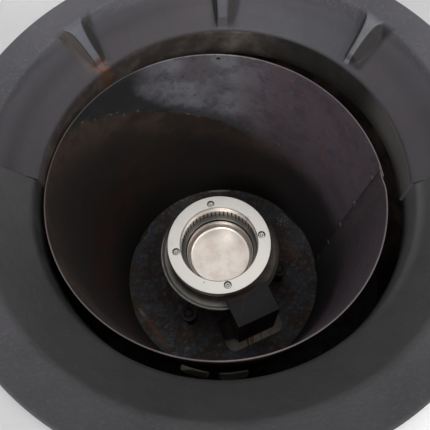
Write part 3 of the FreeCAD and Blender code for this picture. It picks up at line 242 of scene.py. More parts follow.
def ring_iron():
    """Cast iron: rough flange, smoother blued seat, browned collar wall and worn ribs, with painted light
    and shade on the pockets, the front lip, the flange, the collar wall and the ribs.
    """
    f = Finish("ring_iron")
    radius = f.reach(RING_X)
    flange = (radius + f.noise(0.03, 2) * 0.006).step(0.2235, 0.229)
    collar = 1 - (f.z + f.noise(0.012, 3) * 0.0006).step(0.8146, 0.8154)
    broad = f.noise(0.11, 3, 0.6)
    patch = f.noise(0.028, 4, 0.65, lift=3.0)
    fine = f.noise(0.0035, 3, 0.6)
    rear = (f.y + f.x * 0.14).step(-0.001, 0.003)
    tint = f.mix(broad.step(0.4, 0.66), (0.053, 0.046, 0.054), (0.056, 0.055, 0.063))
    tint = f.mix((1 - f.x.step(-0.16, 0.06)) * 0.45, tint, (0.026, 0.022, 0.026))
    front = f.mix(broad.step(0.4, 0.66), (0.049, 0.0495, 0.05), (0.059, 0.059, 0.061))
    # Painted light: the upper part of each rear pocket, towards the flange, is painted lighter.
    tint = f.mix(f.z.step(0.834, 0.85) * (1 - flange) * 0.8, tint, (0.082, 0.077, 0.087))
    # Painted highlight along the front seat's lip on the right.
    lip = (1 - f.z.step(0.817, 0.826)) * f.x.step(0.1, 0.19)
    front = f.mix(lip * 0.8, front, (0.115, 0.112, 0.118))
    seat = f.mix(rear, front, tint)
    seat = f.mix(patch.step(0.5, 0.72) * 0.25, seat, (0.062, 0.064, 0.068))
    skin = f.mix(broad.step(0.35, 0.6), (0.055, 0.054, 0.06), (0.078, 0.072, 0.084))
    skin = f.mix(fine.step(0.5, 0.75) * 0.5, skin, (0.13, 0.13, 0.14))
    # Painted shade: the front of the flange is darkened.
    skin = f.mix((1 - f.y.step(-0.28, 0.02)) * 0.75, skin, (0.022, 0.022, 0.0235))
    skin = f.mix(f.x.step(0.12, 0.26) * 0.4, skin, (0.13, 0.125, 0.14))
    # Painted light: the rear left of the flange is lightened.
    skin = f.mix(f.y.step(0.05, 0.25) * (1 - f.x.step(-0.05, 0.2)) * 0.5, skin, (0.15, 0.145, 0.165))
    colour = rib_wear_and_shading(f, f.mix(flange, seat, skin))
    brown = f.mix(patch.step(0.4, 0.66), (0.07, 0.056, 0.048), (0.14, 0.12, 0.105))
    tan = (f.noise(0.02, 3, lift=1.0) * (f.x - 0.02).step(-0.06, 0.05) * f.y.step(0.1, 0.17)).step(0.3, 0.62)
    tan = tan * (1 - f.x.step(0.03, 0.08))
    brown = f.mix(tan * 0.8, brown, (0.3, 0.265, 0.24))
    # Painted light: the collar's side and front walls are painted lighter towards the right.
    side_wall = f.mix(f.x.step(0.172, 0.192), (0.028, 0.026, 0.0255), (0.17, 0.16, 0.157))
    brown = f.mix(f.x.step(0.06, 0.12) * 0.85, brown, side_wall)
    front_wall = f.mix(patch.step(0.4, 0.7), (0.05, 0.052, 0.052), (0.08, 0.083, 0.083))
    front_wall = f.mix(f.x.step(0.1, 0.18) * 0.8, front_wall, (0.2, 0.198, 0.2))
    wall = f.mix(rear, front_wall, brown)
    colour = f.mix(collar, colour, wall)
    rust = f.noise(0.009, 4, 0.7, lift=2.0).step(0.6, 0.72)
    near_rib = 1 - f.reach(-0.105, 0.1535).step(0.004, 0.012)
    rusted = (rust * 0.12 + near_rib * fine.step(0.38, 0.55) * 0.8).limit()
    colour = f.mix(rusted, colour, (0.16, 0.062, 0.03))
    wear = f.make("ShaderNodeNewGeometry", output="Pointiness").step(0.52, 0.6)
    colour = f.mix(wear * 0.4, colour, (0.14, 0.145, 0.17))
    roughness = f.blend(flange, f.blend(rear, 0.45, 0.56), 0.62) + (patch - 0.5) * 0.16 - wear * 0.12
    grain = f.cells(0.0036) * 0.35 + f.noise(0.0020, 4, 0.65)
    rough = f.blend(flange, 0.16, 0.8)
    normal = f.bump(grain * rough, 0.0010, 0.7)
    normal = f.bump(f.noise(0.035, 3), 0.0022, 0.4, normal)
    return f.close(colour, roughness, 0.35, normal)


def liner_heat_and_shade(f, rise, right, broad, medium, fine):
    """Grey and purple heat colours of the liner's clean upper part, with painted shade darkening it at the
    left and low down.
    """
    heat = f.mix(broad.step(0.35, 0.62), (0.14, 0.125, 0.145), (0.24, 0.24, 0.27))
    heat = f.mix(right * 0.85, heat, (0.105, 0.078, 0.1))
    heat = f.mix(medium.step(0.5, 0.62) * 0.5, heat, (0.07, 0.06, 0.07))
    heat = f.mix(fine.step(0.54, 0.68) * 0.4, heat, (0.05, 0.042, 0.045))
    # Painted shade at the left, and low down just above the soot.
    left = 1 - (f.x + f.noise(0.04, 3) * 0.06).step(-0.06, 0.002)
    low = (1 - rise.step(0.006, 0.035)) * (1 - right)
    return f.mix((left + low * 0.8).limit() * 0.92, heat, (0.015, 0.0165, 0.017))


def liner_soot_and_shade(f, rise, broad, medium):
    """Brown-black soot of its lower part, redder at the left, with painted shade making it blackest at the
    lower right.
    """
    soot = f.mix(rise.step(-0.07, -0.004), (0.014, 0.010, 0.008), (0.055, 0.034, 0.025))
    soot = f.mix(broad.step(0.42, 0.6) * 0.7, soot, (0.013, 0.0095, 0.008))
    soot = f.mix(medium.step(0.5, 0.62) * 0.5, soot, (0.008, 0.0065, 0.006))
    red = (1 - (f.x + 0.06).step(-0.06, 0.03)) * f.z.step(0.55, 0.6) * (1 - f.z.step(0.63, 0.7))
    soot = f.mix(red * medium.step(0.42, 0.58) * 0.6, soot, (0.045, 0.014, 0.009))
    # Painted shade at the lower right.
    shaded = f.x.step(0.06, 0.13) * (1 - f.z.step(0.58, 0.68))
    return f.mix(shaded * 0.7, soot, (0.009, 0.008, 0.008))


def liner_steel():
    """Rolled sheet: heat colours over a sooty lower part, both with painted shade, with rust flecks, a dark
    lap and a bare rim.
    """
    f = Finish("liner_steel")
    broad = f.noise(0.05, 4, 0.6, lift=1.0)
    fine = f.noise(0.008, 5, 0.7, lift=2.0)
    medium = f.noise(0.022, 5, 0.7, lift=3.0)

    # Height above the uneven upper edge of the soot.
    rise = f.z + (f.noise(0.035, 5, 0.68) - 0.5) * 0.034 - (f.x * f.x * 1.7 - f.x * 0.5 + 0.69)
    right = (f.x + (broad - 0.5) * 0.08).step(0.03, 0.1)
    clean = (rise + (fine - 0.5) * 0.01).step(f.blend(right, -0.003, -0.045), f.blend(right, 0.006, 0.02))
    # The heat colours carry painted shade at the left and low down.
    heat = liner_heat_and_shade(f, rise, right, broad, medium, fine)
    inside = f.mix(clean, liner_soot_and_shade(f, rise, broad, medium), heat)

    # The lap's end leans as it rises: its slope in plan at the floor plate, and the fall of that slope.
    lap_foot, lap_fall = 0.04363, 0.17815
    aside = f.y - f.x * (f.z * -lap_fall + (lap_foot + lap_fall * FLOOR_Z))
    beyond = f.x.step(0.06, 0.1)
    sheet = beyond * (1 - aside.step(-0.0015, 0.0)) * aside.step(-0.09, -0.02)
    inside = f.mix(sheet * 0.6, inside, (0.034, 0.032, 0.034))
    lap_line = beyond * (1 - aside.maths("ABSOLUTE").step(0.0004, 0.0012))
    inside = f.mix(lap_line, inside, (0.006, 0.005, 0.005))

    fleck = f.noise(0.006, 4, 0.72, lift=4.0).step(0.57, 0.66) * f.noise(0.045, 2, lift=5.0).step(0.42, 0.6)
    band = (f.x + f.y * 0.3).step(0.06, 0.13) * clean
    inside = f.mix((fleck * band * 0.85).limit(), inside, (0.26, 0.11, 0.045))
    soot_edge = 1 - (rise - 0.002).maths("ABSOLUTE").step(0.001, 0.006)
    pale = f.noise(0.004, 3, 0.7, lift=8.0).step(0.58, 0.66) * soot_edge
    inside = f.mix(pale * 0.8, inside, (0.2, 0.17, 0.14))

    # The outer face is told by its normal, which points away from the liner's axis.
    outer = f.mix(broad.step(0.38, 0.6), (0.06, 0.03, 0.02), (0.15, 0.08, 0.05))
    facing = f.make("ShaderNodeNewGeometry", output="Normal")
    sockets = {0: facing, 1: f.place}
    outward = f.make("ShaderNodeVectorMath", {"operation": "DOT_PRODUCT"}, sockets, "Value")
    down = f.z * f.make("ShaderNodeSeparateXYZ", inputs={0: facing}, output="Z")
    colour = f.mix((outward - down).step(-0.02, 0.02), inside, outer)

    rim = (f.z + f.noise(0.01, 2) * 0.0008).step(RIM_Z - 0.0004, RIM_Z + 0.0001)
    bare = f.blend((f.x * 0.5 - f.y).step(-0.13, -0.02), 0.1, 0.6) * f.blend(medium, 0.6, 1.2)
    lap = 1 - (aside + 0.005).maths("ABSOLUTE").step(0.003, 0.012) * beyond
    colour = f.mix((rim * bare * f.blend(lap * beyond, 1.0, 0.4)).limit(), colour, (0.11, 0.101, 0.108))
    roughness = f.blend(clean, 0.66, 0.5) + (fine - 0.5) * 0.2 - rim * 0.1
    metallic = f.blend(clean, 0.05, 0.25)
    normal = f.bump(fine + f.noise(0.0022, 3) * 0.4, 0.0006, 0.6)
    normal = f.bump(f.noise(0.06, 2, lift=7.0), 0.004, 0.35, normal)
    return f.close(colour, roughness, metallic, normal)


def floor_steel():
    """Scaled plate: blue-grey and brown mottling with orange rust streaks."""
    f = Finish("floor_steel")
    broad = f.noise(0.035, 4, 0.62)
    fine = f.noise(0.007, 5, 0.72, lift=1.0)
    colour = f.mix(broad.step(0.42, 0.58), (0.055, 0.036, 0.027), (0.062, 0.066, 0.076))
    colour = f.mix(fine.step(0.52, 0.66) * 0.6, colour, (0.12, 0.125, 0.14))
    colour = f.mix(f.noise(0.004, 3, lift=3.0).step(0.58, 0.7) * 0.6, colour, (0.008, 0.007, 0.006))
    along = (f.x + 0.141) * 0.53 - (f.y + 0.03) * 0.848
    aside = ((f.x + 0.141) * 0.848 + (f.y + 0.03) * 0.53 + (fine - 0.5) * 0.01).maths("ABSOLUTE")
    width = along * 0.055 + 0.0008
    streak = (width - aside).step(-0.0012, 0.0012) * along.step(0.004, 0.012) * (1 - along.step(0.07, 0.088))
    spot = 1 - f.reach(0.112, 0.024).step(0.006, 0.022)
    blooms = f.noise(0.02, 4, lift=6.0).step(0.64, 0.74)
    rust = (streak + spot * fine.step(0.42, 0.55) * 0.75 + blooms * 0.3).limit()
    colour = f.mix(rust * 0.75, colour, (0.14, 0.055, 0.026))
    colour = f.mix(streak * (1 - along.step(0.02, 0.035)) * 0.8, colour, (0.3, 0.22, 0.15))
    left_drain = 1 - f.reach(-0.1221, 0.0871).step(0.0095, 0.012)
    right_drain = 1 - f.reach(0.1085, 0.078).step(0.006, 0.013)
    chips = f.noise(0.004, 3, 0.7, lift=5.0).step(0.5, 0.58)
    rear_edge = f.reach().step(0.139, 0.146) * f.y.step(0.09, 0.12)
    crumbs = rear_edge * f.noise(0.005, 3, 0.7, lift=7.0).step(0.52, 0.6)
    litter = ((left_drain + right_drain) * chips + crumbs * 0.5).limit()
    colour = f.mix(litter * 0.8, colour, (0.34, 0.3, 0.25))
    roughness = f.blend(fine.step(0.35, 0.7), 0.72, 0.46)
    normal = f.bump(fine + f.cells(0.006) * 0.3, 0.0012, 0.8)
    return f.close(colour, roughness, 0.25, normal)


def turned_bright():
    """Steel faced on a lathe: fine rings and faint heat stains, with painted shade in its bore, less at the
    rear, and round its screws.
    """
    f = Finish("turned_bright")
    radius = f.reach()
    sockets = {"W": radius, "Scale": 2600.0, "Detail": 2.0}
    rings = f.make("ShaderNodeTexNoise", {"noise_dimensions": "1D"}, sockets)
    stain = f.noise(0.02, 4, 0.6)
    colour = f.mix(stain.step(0.52, 0.72) * 0.4, (0.7, 0.67, 0.63), (0.6, 0.55, 0.5))
    # Painted shade in the bore below the top face, less at the rear.
    low = 1 - f.z.step(0.624, 0.627)
    colour = f.mix(low * f.blend(f.y.step(0.012, 0.034), 0.93, 0.8), colour, (0.07, 0.064, 0.058))
    # Painted shade in the gap round each screw head.
    for x, y in SCREWS:
        hole = 1 - f.reach(x, y).step(0.0046, 0.0054)
        colour = f.mix(hole * 0.9, colour, (0.05, 0.045, 0.04))
    pit = 1 - f.reach(-0.0247, -0.0507).step(0.0005, 0.001)
    colour = f.mix(pit, colour, (0.06, 0.05, 0.045))
    spot = 1 - f.reach(0.041, 0.03).step(0.001, 0.005)
    colour = f.mix(spot * 0.5, colour, (0.36, 0.24, 0.17))
    roughness = f.blend(stain, 0.28, 0.44)
    normal = f.bump(rings, 0.00012, 0.5)
    return f.close(colour, roughness, 1.0, normal)


def cup_steel():
    """Warm pale dish, satin, with soft tan blotches and a darker wall."""
    f = Finish("cup_steel")
    blotch = f.noise(0.016, 4, 0.6)
    colour = f.mix(blotch.step(0.4, 0.7), (0.76, 0.7, 0.645), (0.68, 0.58, 0.51))
    wall = f.z.step(0.5915, 0.596)
    colour = f.mix(wall * 0.7, colour, (0.3, 0.285, 0.27))
    roughness = f.blend(wall, 0.34, 0.3) + (blotch - 0.5) * 0.1
    normal = f.bump(f.noise(0.0015, 3), 0.0002, 0.25)
    return f.close(colour, roughness, 1.0, normal)


def burner_iron():
    """Heat-browned casting: a worn grey-tan band above its flange at the front left, darker near the ring as
    painted shadow, a flange rim worn at the front left and painted dark as shade elsewhere, sooty below.
    """
    f = Finish("burner_iron")
    patch = f.noise(0.012, 4, 0.65)
    upper = f.z.step(BURNER_FLANGE_Z - 0.0008, BURNER_FLANGE_Z - 0.0002)
    worn_unshaded_side = (f.x * -0.6 - f.y * 0.8).step(0.0, 0.05)
    sooty = f.mix(patch.step(0.4, 0.65), (0.014, 0.011, 0.0095), (0.035, 0.026, 0.021))
    # The band starts away from the ring; the darker brown left nearer the ring is painted shadow.
    band = upper * (f.reach() + (patch - 0.5) * 0.004).step(0.0675, 0.0765)
    colour = f.mix(upper, sooty, f.mix(patch.step(0.4, 0.6), (0.05, 0.034, 0.026), (0.09, 0.066, 0.05)))
    band = band * f.blend(worn_unshaded_side, 0.15, 0.95)
    colour = f.mix(band, colour, (0.42, 0.4, 0.37))
    rim = f.reach().step(0.0775, 0.08) * f.z.step(BURNER_FLANGE_Z - 0.001, BURNER_FLANGE_Z + 0.0015)
    # Painted shade darkens the flange rim away from the front left.
    colour = f.mix(rim * (1 - worn_unshaded_side) * 0.9, colour, (0.02, 0.016, 0.013))
    colour = f.mix(rim * worn_unshaded_side * patch.step(0.35, 0.55), colour, (0.3, 0.28, 0.25))
    worn = (band * 0.7 + rim * worn_unshaded_side).limit()
    metallic = f.blend(worn, 0.15, 0.45)
    roughness = f.blend(worn, 0.66, 0.4) + (patch - 0.5) * 0.15
    normal = f.bump(f.noise(0.0025, 4), 0.0008, 0.5)
    return f.close(colour, roughness, metallic, normal)


def brushed(name, tint, along, rough=0.3, stain=0.0, metal=0.9):
    """Stainless sheet brushed along X, Y or Z, with soft clouding and faint scratches."""
    f = Finish(name)
    stretch = {"X": (0.012, 1, 1), "Y": (1, 0.012, 1), "Z": (1, 1, 0.012)}[along]
    lines = f.noise(0.0011, 3, 0.7, stretch)
    cloud = f.noise(0.12, 3, 0.6)
    marks = f.noise(0.004, 2, 0.5, stretch, lift=4.0).step(0.66, 0.74)
    dull = tuple(channel * 0.9 for channel in tint)
    colour = f.mix(cloud.step(0.35, 0.7) * 0.6 + marks * 0.25, tint, dull)
    if stain:
        spill = f.noise(0.05, 5, 0.7, lift=9.0).step(0.44, 0.66)
        colour = f.mix(spill * stain, colour, (0.33, 0.22, 0.12))
        colour = f.mix(f.noise(0.012, 4, lift=12.0).step(0.6, 0.72) * stain, colour, (0.1, 0.055, 0.03))
    roughness = f.blend(lines, rough - 0.07, rough + 0.12) + cloud * 0.06
    normal = f.bump(lines, 0.00014, 0.6)
    return f.close(colour, roughness, metal, normal)


def dark_sheet():
    """Scaled dark sheet of the pilot's shield, browned along its edges and on its left flank."""
    f = Finish("dark_sheet")
    fine = f.noise(0.005, 4, 0.65)
    wear = f.make("ShaderNodeNewGeometry", output="Pointiness").step(0.53, 0.62)
    low = 1 - f.z.step(0.6, 0.618)
    colour = f.mix(fine.step(0.4, 0.7), (0.009, 0.009, 0.0098), (0.018, 0.018, 0.0195))
    near = 1 - f.reach().step(0.072, 0.0765)
    flank = low * (1 - (f.x * 0.87 + f.y * 0.5).step(-0.04, -0.02))
    brown = (near * 0.8 + flank + low * fine.step(0.4, 0.6) * 0.5 + wear * 0.4).limit()
    colour = f.mix(brown * 0.8, colour, (0.075, 0.034, 0.022))
    normal = f.bump(fine, 0.0004, 0.5)
    return f.close(colour, 0.72 + (fine - 0.5) * 0.2, 0.1, normal)


def scaled_steel(name, light, dark, rough=0.6, metal=0.4):
    """Heat-stained or cast grey steel with a mottled skin."""
    f = Finish(name)
    patch = f.noise(0.03, 4, 0.62)
    fine = f.noise(0.004, 4, 0.65, lift=2.0)
    colour = f.mix(patch.step(0.36, 0.66), dark, light)
    colour = f.mix(fine.step(0.58, 0.72) * 0.35, colour, tuple(channel * 0.45 for channel in dark))
    normal = f.bump(fine, 0.0006, 0.6)
    return f.close(colour, rough + (patch - 0.5) * 0.2, metal, normal)


def tube_iron():
    """The mixing tube: grey scaled iron, painted pale on its upward faces in front of the burner."""
    f = Finish("tube_iron")
    patch = f.noise(0.03, 4, 0.62)
    fine = f.noise(0.004, 4, 0.65, lift=2.0)
    colour = f.mix(patch.step(0.36, 0.66), (0.045, 0.04, 0.038), (0.09, 0.085, 0.082))
    facing = f.make("ShaderNodeNewGeometry", output="Normal")
    up = f.make("ShaderNodeSeparateXYZ", inputs={0: facing}, output="Z").step(0.3, 0.6)
    forward = 1 - (f.y + (fine - 0.5) * 0.012).step(-0.102, -0.096)
    # The upward faces in front of the burner are painted pale.
    pale_top = up * forward * f.blend(patch.step(0.35, 0.55), 0.75, 1.0)
    colour = f.mix(pale_top, colour, (0.72, 0.67, 0.58))
    normal = f.bump(fine, 0.0006, 0.6)
    return f.close(colour, f.blend(pale_top, 0.62, 0.8), f.blend(pale_top, 0.3, 0.0), normal)


def machined(name, tint, rough=0.28):
    """Brass, copper or plated steel with faint tool marks and tarnish."""
    f = Finish(name)
    cloud = f.noise(0.012, 4, 0.6)
    fine = f.noise(0.0012, 3, 0.6, (1, 1, 0.1))
    colour = f.mix(cloud.step(0.45, 0.75) * 0.6, tint, tuple(channel * 0.5 for channel in tint))
    normal = f.bump(fine, 0.0001, 0.5)
    return f.close(colour, f.blend(cloud, rough - 0.04, rough + 0.18), 1.0, normal)


def galvanised():
    """Zinc-coated pipe with its spangle."""
    f = Finish("galvanised")
    spangle = f.make("ShaderNodeTexVoronoi", inputs={"Vector": f.place, "Scale": 140.0}, output="Color")
    tone = f.make("ShaderNodeSeparateColor", inputs={0: spangle})
    colour = f.mix(tone, (0.43, 0.45, 0.47), (0.6, 0.62, 0.63))
    colour = f.mix(f.noise(0.04, 4).step(0.55, 0.75) * 0.4, colour, (0.3, 0.3, 0.29))
    normal = f.bump(f.noise(0.003, 2), 0.0003, 0.3)
    return f.close(colour, f.blend(tone, 0.34, 0.5), 0.8, normal)


def moulded(name, tint, rough):
    """Moulded plastic with a fine spark grain and handling wear."""
    f = Finish(name)
    grain = f.noise(0.0007, 2, 0.5)
    wear = f.noise(0.02, 4, 0.6).step(0.5, 0.75)
    colour = f.mix(wear * 0.35, tint, tuple(min(1.0, channel * 1.5 + 0.01) for channel in tint))
    normal = f.bump(grain, 0.00012, 0.4)
    return f.close(colour, f.blend(wear, rough, rough - 0.1), 0.0, normal)


def glazed():
    """Glazed ceramic insulator with soot at its tip."""
    f = Finish("glazed")
    soot = (f.z + f.noise(0.004, 3) * 0.006).step(0.553, 0.568)
    colour = f.mix(soot * 0.9, (0.74, 0.72, 0.66), (0.03, 0.025, 0.02))
    return f.close(colour, f.blend(soot, 0.18, 0.6), 0.0, f.bump(f.noise(0.004, 2), 0.0002, 0.2))


FINISHES = {
    "worktop_steel": brushed("worktop_steel", (0.63, 0.63, 0.635), "X", 0.34),
    "panel_steel": brushed("panel_steel", (0.56, 0.56, 0.565), "Z", 0.36),
    "frame_steel": brushed("frame_steel", (0.5, 0.5, 0.505), "Z", 0.38),
    "zinc_steel": machined("zinc_steel", (0.56, 0.57, 0.58), 0.3),
    "ring_iron": ring_iron(),
    "drum_steel": scaled_steel("drum_steel", (0.24, 0.2, 0.17), (0.1, 0.075, 0.06), 0.5, 0.6),
    "liner_steel": liner_steel(),
    "floor_steel": floor_steel(),
    "burner_bright": turned_bright(),
    "burner_iron": burner_iron(),
    "screw_steel": machined("screw_steel", (0.46, 0.45, 0.43), 0.26),
    "pilot_steel": dark_sheet(),
    "brass": machined("brass", (0.7, 0.52, 0.24), 0.24),
    "copper_tube": machined("copper_tube", (0.68, 0.36, 0.22), 0.26),
    "insulator": glazed(),
    "tube_iron": tube_iron(),
    "shutter_steel": brushed("shutter_steel", (0.5, 0.5, 0.5), "X", 0.34),
    "pipe_steel": galvanised(),
    "knob_plastic": moulded("knob_plastic", (0.016, 0.016, 0.018), 0.5),
    "spindle_steel": machined("spindle_steel", (0.6, 0.6, 0.6), 0.22),
    "button_plastic": moulded("button_plastic", (0.48, 0.02, 0.015), 0.32),
    "tray_steel": brushed("tray_steel", (0.6, 0.54, 0.44), "Y", 0.4, stain=0.35, metal=0.4),
    "dusty_steel": brushed("dusty_steel", (0.6, 0.56, 0.48), "X", 0.6, stain=0.2, metal=0.1),
    "cup_steel": cup_steel(),
}

SLOT_OF = {part["node"]: part["material_slot"] for part in frame["record"]["subparts"]}
for node, thing in frame["nodes"].items():
    for place in thing.material_slots:
        place.material = FINISHES["dusty_steel" if node == "cross_bars" else SLOT_OF[node]]
BODY_OF = {
    node: body for body, nodes in frame["record"]["behaviour"]["bodies"].items() for node in nodes
}


# ---------------------------------------------------------------- mesh helpers


def link(name, mesh):
    """A new object in the scene."""
    thing = bpy.data.objects.new(name, mesh)
    bpy.context.scene.collection.objects.link(thing)
    return thing


def add_piece(name, mesh, body, slot, finish=None, stands_for=()):
    """Put a finished mesh into the scene, riding on a body, in the place of the CAD nodes it stands for."""
    thing = link(name, mesh)
    mesh.materials.clear()
    mesh.materials.append(FINISHES[finish or slot])
    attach(thing, body)
    if stands_for:
        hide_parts(*stands_for)
    return thing


def shade(mesh, sharp_degrees=35):
    """Smooth shading, kept sharp across edges steeper than the angle."""
    work = bmesh.new()
    work.from_mesh(mesh)
    for face in work.faces:
        face.smooth = True
    for edge in work.edges:
        edge.smooth = not (
            len(edge.link_faces) == 2 and edge.calc_face_angle(0) > math.radians(sharp_degrees)
        )
    work.to_mesh(mesh)
    work.free()
    return mesh


def grid_mesh(name, points, closed=True):
    """A mesh from an array of points: each row is a ring, and closed joins the last row to the first."""
    rows, columns = points.shape[:2]
    faces = []
    for row in range(rows if closed else rows - 1):
        after = (row + 1) % rows
        for column in range(columns):
            beside = (column + 1) % columns
            faces.append(
                (row * columns + column, after * columns + column,
                 after * columns + beside, row * columns + beside)
            )
    mesh = bpy.data.meshes.new(name)
    mesh.from_pydata(points.reshape(-1, 3).tolist(), [], faces)
    mesh.update()
    return mesh


def face_outwards(mesh):
    """Merge the doubles of a closed mesh and turn its faces outwards."""
    work = bmesh.new()
    work.from_mesh(mesh)
    bmesh.ops.remove_doubles(work, verts=work.verts, dist=1e-6)
    bmesh.ops.dissolve_degenerate(work, edges=work.edges, dist=1e-7)
    bmesh.ops.recalc_face_normals(work, faces=work.faces)
    work.to_mesh(mesh)
    work.free()
    return mesh


def lathe(name, outline, steps, centre=(0, 0), axis="Z"):
    """A solid turned from (radius, height) corners about an upright axis, or one along Y, through centre."""
    rows = []
    for index in range(steps):
        turn = 2 * math.pi * index / steps
        row = []
        for radius, height in outline:
            across, aside = centre[0] + radius * math.cos(turn), centre[1] + radius * math.sin(turn)
            row.append((across, aside, height) if axis == "Z" else (across, height, aside))
        rows.append(row)
    return face_outwards(grid_mesh(name, np.array(rows)))


def arc(centre, radius, begin, end, count=6):
    """Points on an arc in the (radius, height) plane, angles in degrees."""
    return [
        (
            centre[0] + radius * math.cos(math.radians(begin + (end - begin) * index / count)),
            centre[1] + radius * math.sin(math.radians(begin + (end - begin) * index / count)),
        )
        for index in range(count + 1)
    ]


def finished(thing):
    """The evaluated mesh of an object with its modifiers, as a plain mesh."""
    seen = thing.evaluated_get(bpy.context.evaluated_depsgraph_get())
    mesh = bpy.data.meshes.new_from_object(seen)
    mesh.name = thing.name
    bpy.data.objects.remove(thing)
    return mesh


def carve(mesh, tool):
    """A mesh with another taken away from it."""
    draft, cutter = link(mesh.name, mesh), link(tool.name, tool)
    cut = draft.modifiers.new("Cut", "BOOLEAN")
    cut.object = cutter
    cut.operation = "DIFFERENCE"
    cut.solver = "EXACT"
    mesh = finished(draft)
    bpy.data.objects.remove(cutter)
    return mesh


def round_edges(mesh, width, segments, angle):
    """The mesh with each edge that turns by more than the angle, in degrees, rounded."""
    draft = link(mesh.name, mesh)
    bevel = draft.modifiers.new("Round", "BEVEL")
    bevel.width = width
    bevel.segments = segments
    bevel.limit_method = "ANGLE"
    bevel.angle_limit = math.radians(angle)
    return finished(draft)


def add_block(work, place, size, **rounding):
    """Add a box to a bmesh, with the rounding of its edges where that is given."""
    made = bmesh.ops.create_cube(work, size=1.0, matrix=place @ Matrix.Diagonal((*size, 1)))
    if rounding:
        corners = set(made["verts"])
        edges = [edge for edge in work.edges if edge.verts[0] in corners]
        bmesh.ops.bevel(work, geom=edges, affect="EDGES", **rounding)


def join_meshes(name, meshes):
    """One mesh that holds all of the meshes."""
    work = bmesh.new()
    for mesh in meshes:
        work.from_mesh(mesh)
    joined = bpy.data.meshes.new(name)
    work.to_mesh(joined)
    work.free()
    return joined


def rounded(node, width, finish=None):
    """The CAD node again with its edges rounded, as folded or finished metal has them."""
    mesh = frame["nodes"][node].data.copy()
    work = bmesh.new()
    work.from_mesh(mesh)
    bmesh.ops.remove_doubles(work, verts=work.verts, dist=1e-5)
    bmesh.ops.dissolve_limit(work, angle_limit=math.radians(0.6), verts=work.verts, edges=work.edges)
    work.to_mesh(mesh)
    work.free()
    mesh = shade(round_edges(mesh, width, 3, 30), 32)
    mesh.name = node + "_edges"
    return add_piece(node + "_finished", mesh, BODY_OF[node], SLOT_OF[node], finish, (node,))


# ---------------------------------------------------------------- wok ring


def soft_min(first, second, width):
    """The lower of two heights, blended over a width where they cross."""
    mixed = np.clip(0.5 + 0.5 * (second - first) / width, 0, 1)
    return second * (1 - mixed) + first * mixed - width * mixed * (1 - mixed)


def soft_max(first, second, width):
    return -soft_min(-first, -second, width)


def ring_top(turn, radius, rear):
    """Height of the ring's upper face at an angle and radius about its own axis."""
    flange = SEAT_Z + (radius - SEAT_R) * (FLANGE_Z - SEAT_Z) / (FLANGE_R - SEAT_R)
    seat = LIP_Z + (radius - LIP_R) * (SEAT_Z - LIP_Z) / (SEAT_R - LIP_R)
    front = soft_min(seat, flange, 0.003)
    across, along = radius * np.cos(turn), radius * np.sin(turn) - REAR_SHIFT
    reach = np.hypot(across, along)
    gentle = LIP_Z + (reach - REAR_LIP_R) * (REAR_BEND_Z - LIP_Z) / (REAR_BEND_R - REAR_LIP_R)
    steep = REAR_BEND_Z + (reach - REAR_BEND_R) * (REAR_RIM_Z - REAR_BEND_Z) / (REAR_RIM_R - REAR_BEND_R)
    pocket = soft_min(soft_max(gentle, steep, 0.012), flange, 0.002)
    ribs = np.full_like(pocket, -1.0)
    for angle, offset, half, left_run, right_run in RIBS:
        spread = radius * np.sin(turn - angle) - offset
        flare = FLARE * np.exp(-np.clip(FLARE_R - radius, 0, 1) / FLARE_RUN)
        beside = soft_max(np.abs(spread) - half - flare, np.zeros_like(spread), 0.0016)
        flank = beside / np.where(spread > 0, left_run, right_run)
        tip = np.clip(0.198 - radius, 0, 1) * 3.2
        height = soft_min(seat, flange, 0.003) - 0.0003 - flank - tip
        ahead = np.where(np.cos(turn - angle) > 0, height, -1.0)
        ribs = np.maximum(ribs, ahead)
    return np.where(rear, soft_max(pocket, ribs, 0.0016), front)


def ring_lip(turn, rear):
    """Radius of the ring's inner lip, whose rear half is turned about an axis further back."""
    along = np.sin(turn) * REAR_SHIFT
    aside = np.cos(turn) * REAR_SHIFT
    behind = along + np.sqrt(REAR_LIP_R**2 - aside**2)
    return np.where(rear, behind, LIP_R)


def ring_turns(joint):
    """Angles round the ring: close together at the ribs, with a joint where its two halves meet."""
    full, rib_step, rib_span = 2 * math.pi, 0.22, math.radians(7.1)
    turns = [full * index / 540 for index in range(540)]
    turns = [turn for turn in turns if min(abs(turn - rib[0]) for rib in RIBS) > rib_span]
    for rib in RIBS:
        turns += [rib[0] + math.radians(step * rib_step) for step in range(-32, 33)]
    turns = [turn for turn in turns if min(abs(turn), abs(turn - math.pi), abs(turn - full)) > 0.004]
    return np.array(sorted(turns + [0.0, joint, math.pi - joint, math.pi, math.pi + joint, full - joint]))


